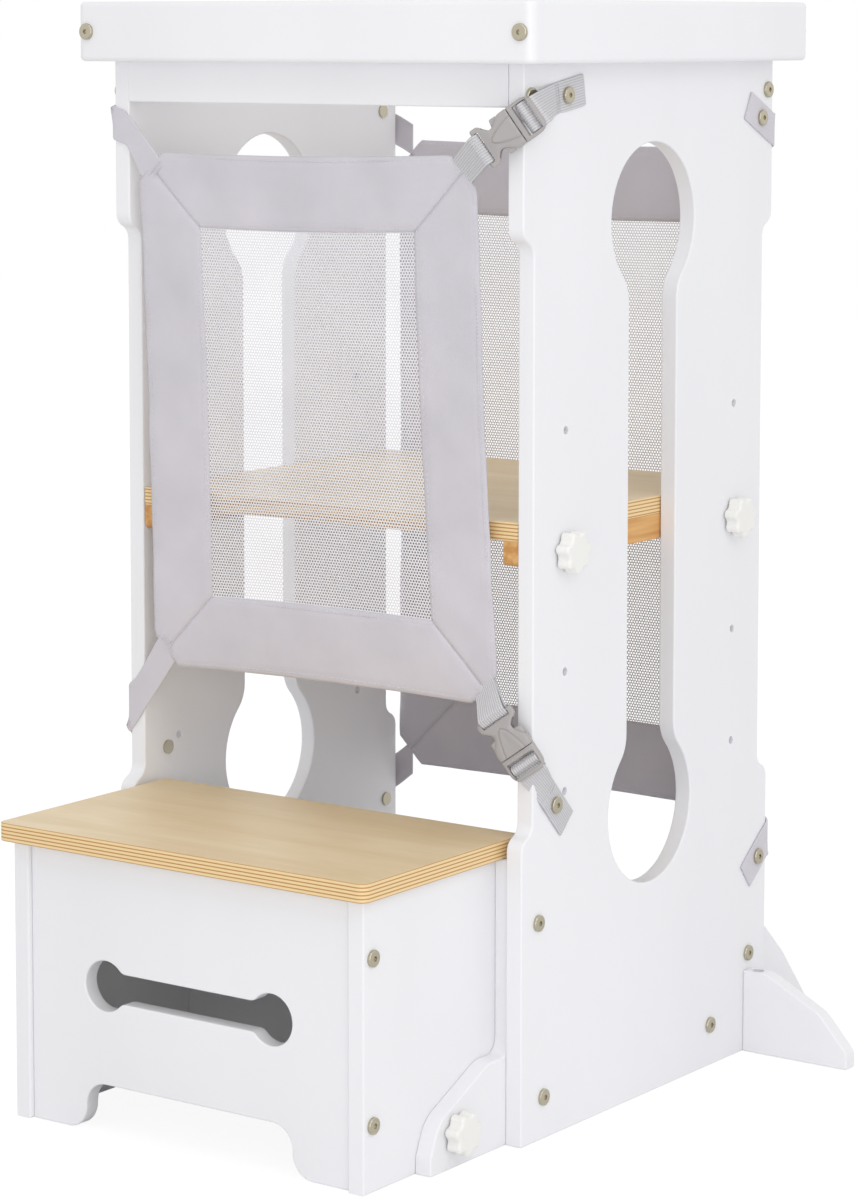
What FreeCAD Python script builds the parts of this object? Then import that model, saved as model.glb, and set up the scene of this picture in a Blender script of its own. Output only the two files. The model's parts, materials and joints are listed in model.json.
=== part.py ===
import FreeCAD, Part
import math
import os
from types import SimpleNamespace

import Sketcher
from FreeCAD import Matrix, Placement, Rotation, Vector

# A helper tower for a child at a kitchen worktop, in millimetres, +Z up.
# X runs to the tower's right, Y from the step to the back. Lengths in Y are measured from the
# front of the top rim, and every piece is then moved so that the origin lies under the
# middle of the whole tower, on the floor.

# ---------------------------------------------------------------- driving dimensions

SIZES = {
    # tower
    "innerWidth": 381.0,        # clear width between the two side panels
    "boardThick": 15.0,         # side panels, plates and step boards
    "panelDepth": 376.0,        # front to back, above and below the waist
    "panelHeight": 898.0,
    "waistInset": 15.0,         # how far the panel's edges step in at the waist
    "waistLow": 258.0,          # where the straight waist starts
    "waistHigh": 702.0,         # and where it ends
    "waistCurve": 23.0,         # height of each S-curve
    "waistRadius": 12.0,
    "boneLow": 241.5,           # centre of the lower round end of the panel's opening
    "boneHigh": 724.0,
    "boneRadius": 63.0,
    "boneNeck": 72.0,           # width between the two round ends
    "boneBlend": 30.0,
    "edgeEase": 1.5,            # rounding on painted board edges
    # rim
    "towerHeight": 900.0,
    "rimThick": 22.0,
    "rimHeight": 49.0,
    "rimCorner": 8.0,
    "rimEdge": 4.0,
    "rimBoltHeight": 24.6,      # below the rim's top
    # rails and lower boards between the panels
    "topRailThick": 18.0,
    "topRailLow": 817.5,
    "lowerBoardFront": 57.3,
    "lowerBoardLow": 20.0,
    "lowerBoardHigh": 228.0,
    "backRailLow": 60.0,
    "backRailHigh": 110.0,
    # platform and its rows of holes
    "rowLowest": 276.0,
    "rowPitch": 96.0,
    "rowCount": 4,
    "platformRow": 3,           # counted from the lowest row
    "rowSetback": 60.0,         # holes from the panel's front and back edges
    "adjustHole": 6.6,
    "platformThick": 15.0,
    "platformSetback": 1.0,     # behind the panel's waist line, front and back
    "platformSideGap": 0.8,     # beside each panel
    "platformEase": 1.0,
    "cleatHeight": 20.5,
    "cleatBelowRow": 9.5,
    "cleatThick": 14.2,
    "cleatRound": 6.0,
    # step
    "stepTopHalf": 184.0,
    "stepTopThick": 15.0,
    "stepTopFront": 155.5,      # in front of the rim
    "stepTopHigh": 243.0,
    "stepTopCorner": 8.0,
    "stepSideFront": 145.0,
    "stepFrontRecess": 4.0,
    "stepBoltHigh": 181.4,
    "stepBoltLow": 52.2,
    "slotHalf": 83.5,           # centre of each round end of the front board's opening
    "slotHigh": 120.5,
    "slotRadius": 20.5,
    "slotNeck": 24.0,
    "slotBlend": 9.0,
    "archHalf": 104.0,          # half the arch's width between its upright ends
    "archHigh": 40.0,
    "archRound": 19.5,          # of the arch's top corners and of the feet beside it
    "footRound": 30.0,
    # plates that join the step to the tower
    "plateToe": 79.0,           # in front of the rim
    "plateToeHigh": 72.0,
    "plateLegDepth": 29.0,
    "plateLegHigh": 228.0,
    "plateRound": 30.0,
    "plateBendOut": 0.86,       # where its toe's curve bends, as a share of the toe
    "plateBendHigh": 0.56,      # and of the toe's height
    "plateTipHigh": 0.2,
    "plateTopBoltIn": 12.3,     # bolts in front of the leg's back edge
    "plateTopBoltDown": 51.4,   # below the leg's top
    "plateLowBoltIn": 4.3,
    "plateLowBoltHigh": 34.5,
    # feet
    "sideFootReach": 102.0,     # beyond the panel's outer face
    "sideFootHigh": 71.0,
    "sideFootFlat": 22.5,       # level part beside the panel
    "sideFootSetback": 21.4,    # from the panel's back edge
    "sideBendOut": 0.74,        # where its curve bends, as a share of the reach
    "sideBendHigh": 0.62,       # and of the height
    "backFootReach": 102.5,     # behind the panel
    "backFootHigh": 120.0,
    "backFootInside": 108.0,    # length in front of the panel's back edge
    "backBendOut": 0.57,
    "backBendHigh": 0.55,
    "backFootBoltIn": 91.0,     # from the panel's back edge
    "backFootBoltHigh": 35.5,
    "footTip": 14.0,            # upright part of a foot's tip
    "footTipRound": 9.0,
    # fasteners
    "boltShank": 6.0,
    "boltHead": 13.5,
    "boltHeadHigh": 2.6,
    "boltSocket": 4.0,          # across the flats of the hexagon
    "boltSocketDeep": 1.6,
    "boltReach": 24.0,          # into the second board, past the first
    "holeGap": 0.3,             # round a shank
    "sleeveHead": 12.0,
    "sleeveHeadHigh": 1.8,
    "sleeveBody": 8.0,
    "barrelWide": 10.0,
    "barrelLong": 13.0,
    "barrelFromFace": 11.0,     # centre of the barrel nut beyond the panel
    "footBoltHigh": 45.0,
    "insertWide": 10.0,
    "insertLong": 13.0,
    # hand knobs
    "knobAcross": 34.5,
    "knobLobes": 7,
    "knobLobe": 4.2,
    "knobValley": 5.0,
    "knobThick": 13.0,
    "knobOff": 1.0,             # gap to the board it clamps
    "knobRound": 2.4,
    "knobBore": 8.5,            # depth of the stud in the knob
    "studThick": 6.0,
    "studFit": 0.05,
    "studReach": 28.0,          # past the clamped face
    "toeKnobSet": 46.0,         # in front of the rim
    "toeKnobHigh": 28.0,
    # nets
    "netHalf": 172.0,
    "netTop": 785.0,
    "netLow": 347.5,
    "netTopSet": 20.9,          # behind the rim's front, at the net's top edge
    "netLowSet": 34.3,
    "netBorder": 63.0,
    "netCornerCut": 26.0,
    "netThick": 3.0,
    "meshThick": 1.2,
    "meshStrand": 2.6,
    "meshColumns": 12,
    "frontMeshRows": 24,
    "rearMeshRows": 24,
    "rearNetHalf": 188.0,
    "rearNetTop": 777.0,
    "rearNetLow": 200.0,
    "rearNetBorder": 66.0,
    # webbing
    "webWide": 25.0,
    "webThick": 1.5,
    "webGap": 0.3,
    # side-release buckles
    "buckleWide": 34.0,
    "buckleThick": 9.0,
    "socketLong": 34.0,
    "socketSkin": 2.0,
    "socketWall": 3.2,
    "slotLong": 4.0,
    "plugLong": 21.0,
    "plugThick": 6.0,
    "tongueLong": 16.0,
    "tongueWide": 6.0,
    "prongGap": 4.2,            # beside the tongue
    "prongLong": 19.0,
    "prongWide": 3.6,
    "prongTab": 4.6,            # how far a prong's tab stands out of its arm
    "buckleOff": 7.5,           # in front of the panel's edge
    "topBuckleIn": 2.0,         # mouth of the buckle, in from the panel's outer face
    "topBuckleHigh": 804.5,
    "topBuckleTurn": 20.0,      # degrees about the vertical
    "topBuckleTilt": 35.0,      # degrees above the level
    "lowBuckleIn": 9.6,
    "lowBuckleHigh": 314.9,
    "lowBuckleTurn": 15.0,
    "lowBuckleTilt": -54.0,
    "tabPast": 24.0,            # webbing beyond the middle of its bolt
}


class Dim:
    """A length with its value and the expression that gives it from the sheet."""

    def __init__(self, value, text):
        self.value = float(value)
        self.text = text

    def join(self, other, sign, value):
        other = dim(other)
        return Dim(value(self.value, other.value), "(%s %s %s)" % (self.text, sign, other.text))

    def __add__(self, other):
        return self.join(other, "+", lambda a, b: a + b)

    def __sub__(self, other):
        return self.join(other, "-", lambda a, b: a - b)

    def __mul__(self, other):
        return self.join(other, "*", lambda a, b: a * b)

    def __truediv__(self, other):
        return self.join(other, "/", lambda a, b: a / b)

    def __radd__(self, other):
        return dim(other) + self

    def __rsub__(self, other):
        return dim(other) - self

    def __rmul__(self, other):
        return dim(other) * self

    def __neg__(self):
        return Dim(-self.value, "(0 - %s)" % self.text)


def dim(number):
    """Wrap a plain number; a Dim comes back as it is."""
    if isinstance(number, Dim):
        return number
    return Dim(number, "(%.9f)" % number)


def root(length):
    return Dim(math.sqrt(length.value), "sqrt(%s)" % length.text)


doc = FreeCAD.newDocument("HelperTower")
sheet = doc.addObject("Spreadsheet::Sheet", "Sizes")
for row, (alias, number) in enumerate(SIZES.items(), start=1):
    sheet.set("A%d" % row, alias)
    sheet.set("B%d" % row, str(number))
    sheet.setAlias("B%d" % row, alias)
doc.recompute()
size = SimpleNamespace(**{alias: Dim(sheet.get(alias), "Sizes.%s" % alias) for alias in SIZES})

# places that several pieces share
inner = size.innerWidth / 2                       # inner face of a side panel
outer = inner + size.boardThick                   # its outer face
rimHalf = outer + size.rimThick
panelFront = size.rimThick
panelBack = panelFront + size.panelDepth
rimBack = panelBack + size.rimThick
waistFront = panelFront + size.waistInset
waistBack = panelBack - size.waistInset
panelMiddle = (panelFront + panelBack) / 2
towerBack = panelBack + size.backFootReach
originSet = (towerBack - size.stepTopFront) / 2   # from the rim's front back to the origin
plateInner = inner - size.boardThick              # inner face of the plates beside the panels
stepInner = plateInner - size.boardThick          # inner face of the step's sides
rowHeight = size.rowLowest + size.rowPitch * (size.platformRow - 1)
cleatLow = rowHeight - size.cleatBelowRow
platformLow = cleatLow + size.cleatHeight
platformHigh = platformLow + size.platformThick
stepBoardHigh = size.stepTopHigh - size.stepTopThick
stepBoltSet = size.stepSideFront - size.stepFrontRecess - size.boardThick / 2
zero = dim(0)

nodes = []                                        # every sub-part, in the order it is made
HOME = Vector(0, -originSet.value, 0)


# ---------------------------------------------------------------- sketches and features

def place(base=Vector(0, 0, 0), rotation=Rotation()):
    """A placement given from the rim's front, moved to the part's own origin."""
    return Placement(HOME + base, rotation)


def newBody(label, placement=None):
    body = doc.addObject("PartDesign::Body", label)
    body.Label = label
    body.Placement = placement or place()
    nodes.append(body)
    return body


def newSketch(body, plane, offset):
    """A sketch on one of the body's origin planes, moved along that plane's normal."""
    role = plane + "_Plane"
    support = [item for item in body.Origin.OriginFeatures if item.Role == role][0]
    sketch = body.newObject("Sketcher::SketchObject", body.Label + "_sketch")
    sketch.AttachmentSupport = (support, [""])
    sketch.MapMode = "FlatFace"
    sketch.setExpression("AttachmentOffset.Base.z", offset.text)
    return sketch


class Chain:
    """Geometry and constraints of one sketch, bound to the sheet when it is closed."""

    def __init__(self, sketch):
        self.sketch = sketch
        self.constraints = []
        self.bindings = []

    def line(self, start, end):
        return self.sketch.addGeometry(Part.LineSegment(flat(start), flat(end)), False)

    def point(self, at):
        return self.sketch.addGeometry(Part.Point(flat(at)), True)

    def circle(self, centre, radius):
        shape = Part.Circle(flat(centre), Vector(0, 0, 1), radius.value)
        index = self.sketch.addGeometry(shape, False)
        self.pin(index, 3, centre)
        self.bind("Radius", radius, index)

    def arc(self, centre, radius, start, end, leftTurn):
        """An arc from start to end; gives its index and which ends those are."""
        middle = flat(centre)
        ends = (start, end) if leftTurn else (end, start)
        angles = [math.atan2(flat(at).y - middle.y, flat(at).x - middle.x) for at in ends]
        if angles[1] <= angles[0]:
            angles[1] += 2 * math.pi
        circle = Part.Circle(middle, Vector(0, 0, 1), plain(radius))
        index = self.sketch.addGeometry(Part.ArcOfCircle(circle, angles[0], angles[1]), False)
        return (index, 1, 2) if leftTurn else (index, 2, 1)

    def add(self, *terms):
        self.constraints.append(Sketcher.Constraint(*terms))

    def bind(self, kind, length, *terms):
        length = dim(length)
        self.bindings.append((len(self.constraints), length))
        self.add(kind, *terms, length.value)

    def pin(self, index, position, at):
        self.bind("DistanceX", at[0], index, position)
        self.bind("DistanceY", at[1], index, position)

    def close(self):
        self.sketch.addConstraint(self.constraints)
        for number, length in self.bindings:
            self.sketch.setExpression("Constraints[%d]" % number, length.text)


def plain(number):
    return number.value if isinstance(number, Dim) else float(number)


def flat(at):
    return Vector(plain(at[0]), plain(at[1]), 0)


def outline(chain, corners):
    """A closed outline through its corners (u, v) or (u, v, radius of the rounding)."""
    count = len(corners)
    reach = []                                    # of each rounding along its two sides
    for i, corner in enumerate(corners):
        if len(corner) == 2:
            reach.append((flat(corner), flat(corner)))
            continue
        here = flat(corner)
        back = (flat(corners[i - 1]) - here).normalize()
        ahead = (flat(corners[(i + 1) % count]) - here).normalize()
        length = plain(corner[2]) / math.tan(back.getAngle(ahead) / 2)
        reach.append((here + back * length, here + ahead * length))
    lines = []
    for i in range(count):
        lines.append(chain.line(reach[i][1], reach[(i + 1) % count][0]))
    for i, corner in enumerate(corners):
        before, after = lines[i - 1], lines[i]
        if len(corner) == 2:
            chain.add("Coincident", before, 2, after, 1)
            chain.pin(after, 1, corner)
            continue
        here = flat(corner)
        start, end = reach[i]
        towards = (start - here).normalize() + (end - here).normalize()
        half = (start - here).getAngle(end - here) / 2
        centre = here + towards.normalize() * (plain(corner[2]) / math.sin(half))
        leftTurn = (here - start).cross(end - here).z > 0
        arc, first, last = chain.arc(centre, corner[2], start, end, leftTurn)
        vertex = chain.point(corner)
        chain.pin(vertex, 1, corner)
        chain.add("PointOnObject", vertex, 1, before)
        chain.add("PointOnObject", vertex, 1, after)
        chain.add("Tangent", before, 2, arc, first)
        chain.add("Tangent", arc, last, after, 1)
        chain.bind("Radius", corner[2], arc)


def dogBone(chain, centre, half, radius, neck, blend, upright):
    """Two round ends joined by a narrower neck, blended into it."""
    side = neck / 2
    across = side + blend
    along = root((radius + blend) * (radius + blend) - across * across)
    ratio = plain(radius) / (plain(radius) + plain(blend))

    def turn(across, along):
        if upright:
            return (centre[0] + across, centre[1] + along)
        return (centre[0] + along, centre[1] + across)

    joints = []
    order = [(1, -1), (1, 1), (-1, 1), (-1, -1)]  # (side of the neck, end of the neck)
    for sx, sy in order:
        blendCentre = turn(across * sx, (half - along) * sy)
        lip = turn(side * sx, (half - along) * sy)
        rim = turn(across * sx * ratio, (half - along * ratio) * sy)
        joints.append((blendCentre, lip, rim))
    pieces = []
    for sx, low, high in ((1, 0, 1), (-1, 2, 3)):
        wall = chain.line(joints[low][1], joints[high][1])
        chain.add("Vertical" if upright else "Horizontal", wall)
        wallAt = turn(side * sx, half * 0)
        chain.bind("DistanceX" if upright else "DistanceY", wallAt[0 if upright else 1], wall, 1)
        pieces.append((wall, 1, 2))
        bend = chain.arc(joints[high][0], blend, joints[high][1], joints[high][2], not upright)
        chain.bind("Radius", blend, bend[0])
        pieces.append(bend)
        end = turn(half * 0, half * sx)
        nextOne = joints[(high + 1) % 4]
        bulb = chain.arc(end, radius, joints[high][2], nextOne[2], upright)
        chain.bind("Radius", radius, bulb[0])
        chain.pin(bulb[0], 3, end)
        pieces.append(bulb)
        back = chain.arc(nextOne[0], blend, nextOne[2], nextOne[1], not upright)
        chain.bind("Radius", blend, back[0])
        pieces.append(back)
    for i, (piece, _, last) in enumerate(pieces):
        following, first, _ = pieces[(i + 1) % len(pieces)]
        chain.add("Tangent", piece, last, following, first)


def star(chain, across, lobes, lobe, valley):
    """A round hand wheel's outline: lobes with hollows between them."""
    count = int(plain(lobes))
    half = math.pi / count
    ring = across / 2 - lobe
    reach = lobe + valley
    rise = ring * math.sin(half)
    hollow = ring * math.cos(half) + root(reach * reach - rise * rise)
    share = plain(lobe) / plain(reach)

    def polar(radius, angle):
        return (radius * math.cos(angle), radius * math.sin(angle))

    def between(i, side):
        """Where lobe i meets the hollow on that side of it."""
        tip = flat(polar(ring, 2 * half * i))
        gap = flat(polar(hollow, 2 * half * i + side * half))
        return tip + (gap - tip) * share

    pieces = []
    for i in range(count):
        tip = polar(ring, 2 * half * i)
        bump = chain.arc(tip, lobe, between(i, -1), between(i, 1), True)
        chain.pin(bump[0], 3, tip)
        chain.bind("Radius", lobe, bump[0])
        gap = polar(hollow, 2 * half * i + half)
        dip = chain.arc(gap, valley, between(i, 1), between(i + 1, -1), False)
        chain.bind("Radius", valley, dip[0])
        pieces += [bump, dip]
    for i, (piece, _, last) in enumerate(pieces):
        following, first, _ = pieces[(i + 1) % len(pieces)]
        chain.add("Tangent", piece, last, following, first)


def rectangle(u0, v0, u1, v1):
    return [(u0, v0), (u1, v0), (u1, v1), (u0, v1)]


def draw(sketch, corners=(), circles=(), bones=()):
    """Fill a sketch with outlines, circles (centre, radius) and dog-bones."""
    chain = Chain(sketch)
    for one in corners:
        outline(chain, one)
    for centre, radius in circles:
        chain.circle(centre, radius)
    for bone in bones:
        dogBone(chain, *bone)
    chain.close()


def pad(body, plane, low, high, **shapes):
    """Material between two distances along the plane's axis."""
    offset = -high if plane == "XZ" else low
    sketch = newSketch(body, plane, dim(offset))
    draw(sketch, **shapes)
    feature = body.newObject("PartDesign::Pad", body.Label + "_pad")
    feature.Profile = sketch
    feature.setExpression("Length", (high - low).text)
    body.Tip = feature
    return feature


def pocket(body, plane, low, high, **shapes):
    """A cut between two distances along the plane's axis."""
    offset = -low if plane == "XZ" else high
    sketch = newSketch(body, plane, dim(offset))
    draw(sketch, **shapes)
    doc.recompute()
    before = body.Shape.Volume
    feature = body.newObject("PartDesign::Pocket", body.Label + "_pocket")
    feature.Profile = sketch
    feature.setExpression("Length", (high - low).text)
    body.Tip = feature
    doc.recompute()
    if not body.Shape.Volume < before:
        raise RuntimeError("a pocket in %s cuts nothing" % body.Label)
    return feature


def ease(body, radius, choose=None):
    """Round the body's edges: all of them, or those that choose(edge) picks."""
    doc.recompute()
    tip = body.Tip
    names = []
    for number, edge in enumerate(tip.Shape.Edges, start=1):
        if choose is None or choose(edge):
            names.append("Edge%d" % number)
    feature = body.newObject("PartDesign::Fillet", body.Label + "_ease")
    feature.Base = (tip, names)
    feature.setExpression("Radius", dim(radius).text)
    body.Tip = feature


def featureNode(label, shape, placement=None):
    """A sub-part made of a ready shape, such as a set of separate solids."""
    item = doc.addObject("Part::Feature", label)
    item.Label = label
    item.Shape = shape
    item.Placement = placement or place()
    nodes.append(item)
    return item


# ---------------------------------------------------------------- places of the fasteners

hole = size.boltShank / 2 + size.holeGap          # radius of a hole round a shank
adjust = size.adjustHole / 2
rimBoltZ = size.towerHeight - size.rimBoltHeight
rimBoltX = outer + size.rimThick / 2
railZ = size.topRailLow + size.topRailThick / 2
railFrontY = panelFront + size.topRailThick / 2
railBackY = panelBack - size.topRailThick / 2
plateLegBack = size.lowerBoardFront
plateBolts = [
    (plateLegBack - size.plateTopBoltIn, size.plateLegHigh - size.plateTopBoltDown),
    (plateLegBack - size.plateLowBoltIn, size.plateLowBoltHigh),
]
footMiddle = panelBack - size.sideFootSetback - size.boardThick / 2
backRailBolt = (footMiddle, (size.backRailLow + size.backRailHigh) / 2)
backFootBolt = (panelBack - size.backFootBoltIn, size.backFootBoltHigh)
footBolt = (footMiddle, size.footBoltHigh)
strapBolts = [
    (panelFront + 58, railZ),
    (waistFront + 30, size.waistLow + 9.6),
    (panelBack - 21, size.panelHeight - 95),
    (panelBack - 16.6, dim(167.6)),
]
rowHoles = []
for number in range(int(size.rowCount.value)):
    for across in (panelFront + size.rowSetback, panelBack - size.rowSetback):
        rowHoles.append((across, size.rowLowest + size.rowPitch * number))
cleatHoles = [
    (panelFront + size.rowSetback, rowHeight),
    (panelBack - size.rowSetback, rowHeight),
]
toeKnob = (-size.toeKnobSet, size.toeKnobHigh)
stepBolts = [(-stepBoltSet, size.stepBoltHigh), (-stepBoltSet, size.stepBoltLow)]
SIDES = (("left", -1), ("right", 1))


def band(side, low, high):
    """The distances low..high from the middle, on one side of the tower."""
    return (low, high) if side > 0 else (-high, -low)


# ---------------------------------------------------------------- tower

for name, side in SIDES:
    panel = newBody("side_panel_" + name)
    low, high = band(side, inner, outer)
    lowCurve = size.waistLow - size.waistCurve
    highCurve = size.waistHigh + size.waistCurve
    # where the sides of an S-curve of two equal arcs would meet
    kink = (size.waistInset * size.waistInset + size.waistCurve * size.waistCurve) / (4 * size.waistCurve)
    edge = size.waistRadius
    pad(panel, "YZ", low, high, corners=[[
        (panelFront, zero),
        (panelBack, zero),
        (panelBack, lowCurve + kink, edge),
        (waistBack, size.waistLow - kink, edge),
        (waistBack, size.waistHigh + kink, edge),
        (panelBack, highCurve - kink, edge),
        (panelBack, size.panelHeight),
        (panelFront, size.panelHeight),
        (panelFront, highCurve - kink, edge),
        (waistFront, size.waistHigh + kink, edge),
        (waistFront, size.waistLow - kink, edge),
        (panelFront, lowCurve + kink, edge),
    ]])
    half = (size.boneHigh - size.boneLow) / 2
    centre = (panelMiddle, (size.boneHigh + size.boneLow) / 2)
    bone = (centre, half, size.boneRadius, size.boneNeck, size.boneBlend, True)
    pocket(panel, "YZ", low, high, bones=[bone])
    ease(panel, size.edgeEase)
    bolts = [(railFrontY, railZ), (railBackY, railZ), backRailBolt, backFootBolt, footBolt]
    bolts += plateBolts
    circles = [(at, hole) for at in bolts] + [(at, adjust) for at in rowHoles]
    circles += [(at, size.sleeveBody / 2 + size.holeGap) for at in strapBolts]
    pocket(panel, "YZ", low, high, circles=circles)

rimLow = size.towerHeight - size.rimHeight
for name, low, high, corner in (
    ("front", zero, size.rimThick, -1),
    ("back", panelBack, rimBack, 1),
):
    board = newBody("rim_board_" + name)
    near, far = (high, low) if corner < 0 else (low, high)
    pad(board, "XY", rimLow, size.towerHeight, corners=[[
        (-rimHalf, near),
        (rimHalf, near),
        (rimHalf, far, size.rimCorner),
        (-rimHalf, far, size.rimCorner),
    ]])
    seam = near.value                             # the face that the side boards meet

    def onOutside(edge):
        level = edge.BoundBox.ZLength < 0.01
        return level and (edge.BoundBox.YLength > 0.01 or abs(edge.BoundBox.YMin - seam) > 0.01)

    ease(board, size.rimEdge, onOutside)
    circles = [((side * rimBoltX, rimBoltZ), hole) for _, side in SIDES]
    pocket(board, "XZ", low, high, circles=circles)

for name, side in SIDES:
    board = newBody("rim_board_" + name)
    low, high = band(side, outer, rimHalf)
    pad(board, "XZ", panelFront, panelBack, corners=[rectangle(low, rimLow, high, size.towerHeight)])
    ease(board, size.rimEdge, lambda edge: edge.BoundBox.YLength > 1 and abs(
        abs(edge.BoundBox.XMin) - rimHalf.value) < 0.01)
    for start, end in (
        (panelFront, panelFront + size.boltReach),
        (panelBack - size.boltReach, panelBack),
    ):
        pocket(board, "XZ", start, end, circles=[((side * rimBoltX, rimBoltZ), hole)])

for name, low, high in (
    ("front", panelFront, panelFront + size.topRailThick),
    ("back", panelBack - size.topRailThick, panelBack),
):
    rail = newBody("top_rail_" + name)
    corners = [rectangle(-inner, size.topRailLow, inner, size.panelHeight)]
    pad(rail, "XZ", low, high, corners=corners)
    ease(rail, size.edgeEase, lambda edge: edge.BoundBox.XLength > 1)
    centre = ((low + high) / 2, railZ)
    for _, side in SIDES:
        start, end = band(side, inner - size.boltReach, inner)
        pocket(rail, "YZ", start, end, circles=[(centre, hole)])

board = newBody("lower_board_front")
pad(board, "XZ", size.lowerBoardFront, size.lowerBoardFront + size.boardThick, corners=[
    rectangle(-inner, size.lowerBoardLow, inner, size.lowerBoardHigh)])
ease(board, size.edgeEase, lambda edge: edge.BoundBox.XLength > 1)

rail = newBody("lower_rail_back")
railStart = footMiddle - size.boardThick / 2
pad(rail, "XZ", railStart, railStart + size.boardThick, corners=[
    rectangle(-plateInner, size.backRailLow, plateInner, size.backRailHigh)])
ease(rail, size.edgeEase, lambda edge: edge.BoundBox.XLength > 1)
for _, side in SIDES:
    start, end = band(side, plateInner - size.boltReach / 2, plateInner)
    pocket(rail, "YZ", start, end, circles=[(backRailBolt, hole)])


# ---------------------------------------------------------------- platform

board = newBody("platform_board")
platformHalf = inner - size.platformSideGap
platformFront = waistFront + size.platformSetback
platformBack = waistBack - size.platformSetback
pad(board, "XY", platformLow, platformHigh, corners=[
    rectangle(-platformHalf, platformFront, platformHalf, platformBack)])
ease(board, size.platformEase)

for name, side in SIDES:
    cleat = newBody("platform_cleat_" + name)
    low, high = band(side, platformHalf - size.cleatThick, platformHalf)
    pad(cleat, "YZ", low, high, corners=[[
        (platformFront + 1, cleatLow, size.cleatRound),
        (platformBack - 1, cleatLow, size.cleatRound),
        (platformBack - 1, platformLow),
        (platformFront + 1, platformLow),
    ]])
    # the studs sit in slots that are open below, so that the platform lifts off them
    slots = []
    for across, level in cleatHoles:
        slots.append(rectangle(across - adjust, cleatLow - 1, across + adjust, level + adjust))
    pocket(cleat, "YZ", low, high, corners=slots)


# ---------------------------------------------------------------- step

top = newBody("step_top")
pad(top, "XY", stepBoardHigh, size.stepTopHigh, corners=[[
    (-size.stepTopHalf, plateLegBack),
    (-size.stepTopHalf, -size.stepTopFront, size.stepTopCorner),
    (size.stepTopHalf, -size.stepTopFront, size.stepTopCorner),
    (size.stepTopHalf, plateLegBack),
]])
ease(top, size.platformEase)

for name, side in SIDES:
    board = newBody("step_side_" + name)
    low, high = band(side, stepInner, plateInner)
    pad(board, "YZ", low, high, corners=[
        rectangle(-size.stepSideFront, zero, plateLegBack, stepBoardHigh)])
    ease(board, size.edgeEase, lambda edge: edge.BoundBox.XLength < 0.01)
    circles = [(at, hole) for at in stepBolts] + [(toeKnob, size.insertWide / 2)]
    pocket(board, "YZ", low, high, circles=circles)

board = newBody("step_front_board")
boardFront = size.stepFrontRecess - size.stepSideFront
pad(board, "XZ", boardFront, boardFront + size.boardThick, corners=[[
    (-stepInner, zero),
    (-size.archHalf, zero, size.archRound),
    (-size.archHalf, size.archHigh, size.archRound),
    (size.archHalf, size.archHigh, size.archRound),
    (size.archHalf, zero, size.archRound),
    (stepInner, zero),
    (stepInner, stepBoardHigh),
    (-stepInner, stepBoardHigh),
]])
bone = ((zero, size.slotHigh), size.slotHalf, size.slotRadius, size.slotNeck, size.slotBlend, False)
pocket(board, "XZ", boardFront, boardFront + size.boardThick, bones=[bone])
ease(board, size.edgeEase)
for _, side in SIDES:
    start, end = band(side, stepInner - size.boltReach, stepInner)
    pocket(board, "YZ", start, end, circles=[(at, hole) for at in stepBolts])

for name, side in SIDES:
    plate = newBody("step_plate_" + name)
    low, high = band(side, plateInner, inner)
    legFront = plateLegBack - size.plateLegDepth
    rise = size.plateToeHigh
    pad(plate, "YZ", low, high, corners=[[
        (-size.plateToe, zero),
        (plateLegBack, zero),
        (plateLegBack, size.plateLegHigh),
        (legFront, size.plateLegHigh),
        (legFront, rise, size.waistRadius),
        (zero, rise, size.plateRound),
        (-size.plateToe * size.plateBendOut, rise * size.plateBendHigh, size.plateRound),
        (-size.plateToe, rise * size.plateTipHigh, size.footTipRound),
    ]])
    ease(plate, size.edgeEase)
    circles = [(at, hole) for at in plateBolts] + [(toeKnob, adjust)]
    pocket(plate, "YZ", low, high, circles=circles)


# ---------------------------------------------------------------- feet

for name, side in SIDES:
    foot = newBody("side_foot_" + name)
    reach = size.sideFootReach
    tip = outer + reach
    start = footMiddle - size.boardThick / 2
    rise = size.sideFootHigh
    outlineOut = [
        (outer, zero),
        (tip, zero),
        (tip, size.footTip, size.footTipRound),
        (outer + reach * size.sideBendOut, rise * size.sideBendHigh, size.footRound),
        (outer + size.sideFootFlat, rise, size.footRound),
        (outer, rise),
    ]
    mirrored = [(side * corner[0],) + tuple(corner[1:]) for corner in outlineOut]
    pad(foot, "XZ", start, start + size.boardThick, corners=[mirrored])
    ease(foot, size.edgeEase)
    nutX = outer + size.barrelFromFace
    low, high = band(side, outer, nutX + size.barrelWide / 2)
    pocket(foot, "YZ", low, high, circles=[(footBolt, hole)])
    nutLow = size.footBoltHigh - size.barrelLong / 2
    pocket(foot, "XY", nutLow, rise + 1, circles=[((side * nutX, footMiddle), size.barrelWide / 2)])

    foot = newBody("back_foot_" + name)
    low, high = band(side, plateInner, inner)
    tip = panelBack + size.backFootReach
    reach = size.backFootReach
    rise = size.backFootHigh
    pad(foot, "YZ", low, high, corners=[[
        (panelBack - size.backFootInside, zero),
        (tip, zero),
        (tip, size.footTip, size.footTipRound),
        (panelBack + reach * size.backBendOut, rise * size.backBendHigh, size.footRound),
        (panelBack, rise, size.footRound),
        (panelBack - size.backFootInside, rise, size.footRound),
    ]])
    ease(foot, size.edgeEase)
    circles = [(backRailBolt, hole), (backFootBolt, hole), (footBolt, size.boltHead / 2 + size.holeGap)]
    pocket(foot, "YZ", low, high, circles=circles)


# ---------------------------------------------------------------- fasteners

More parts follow.
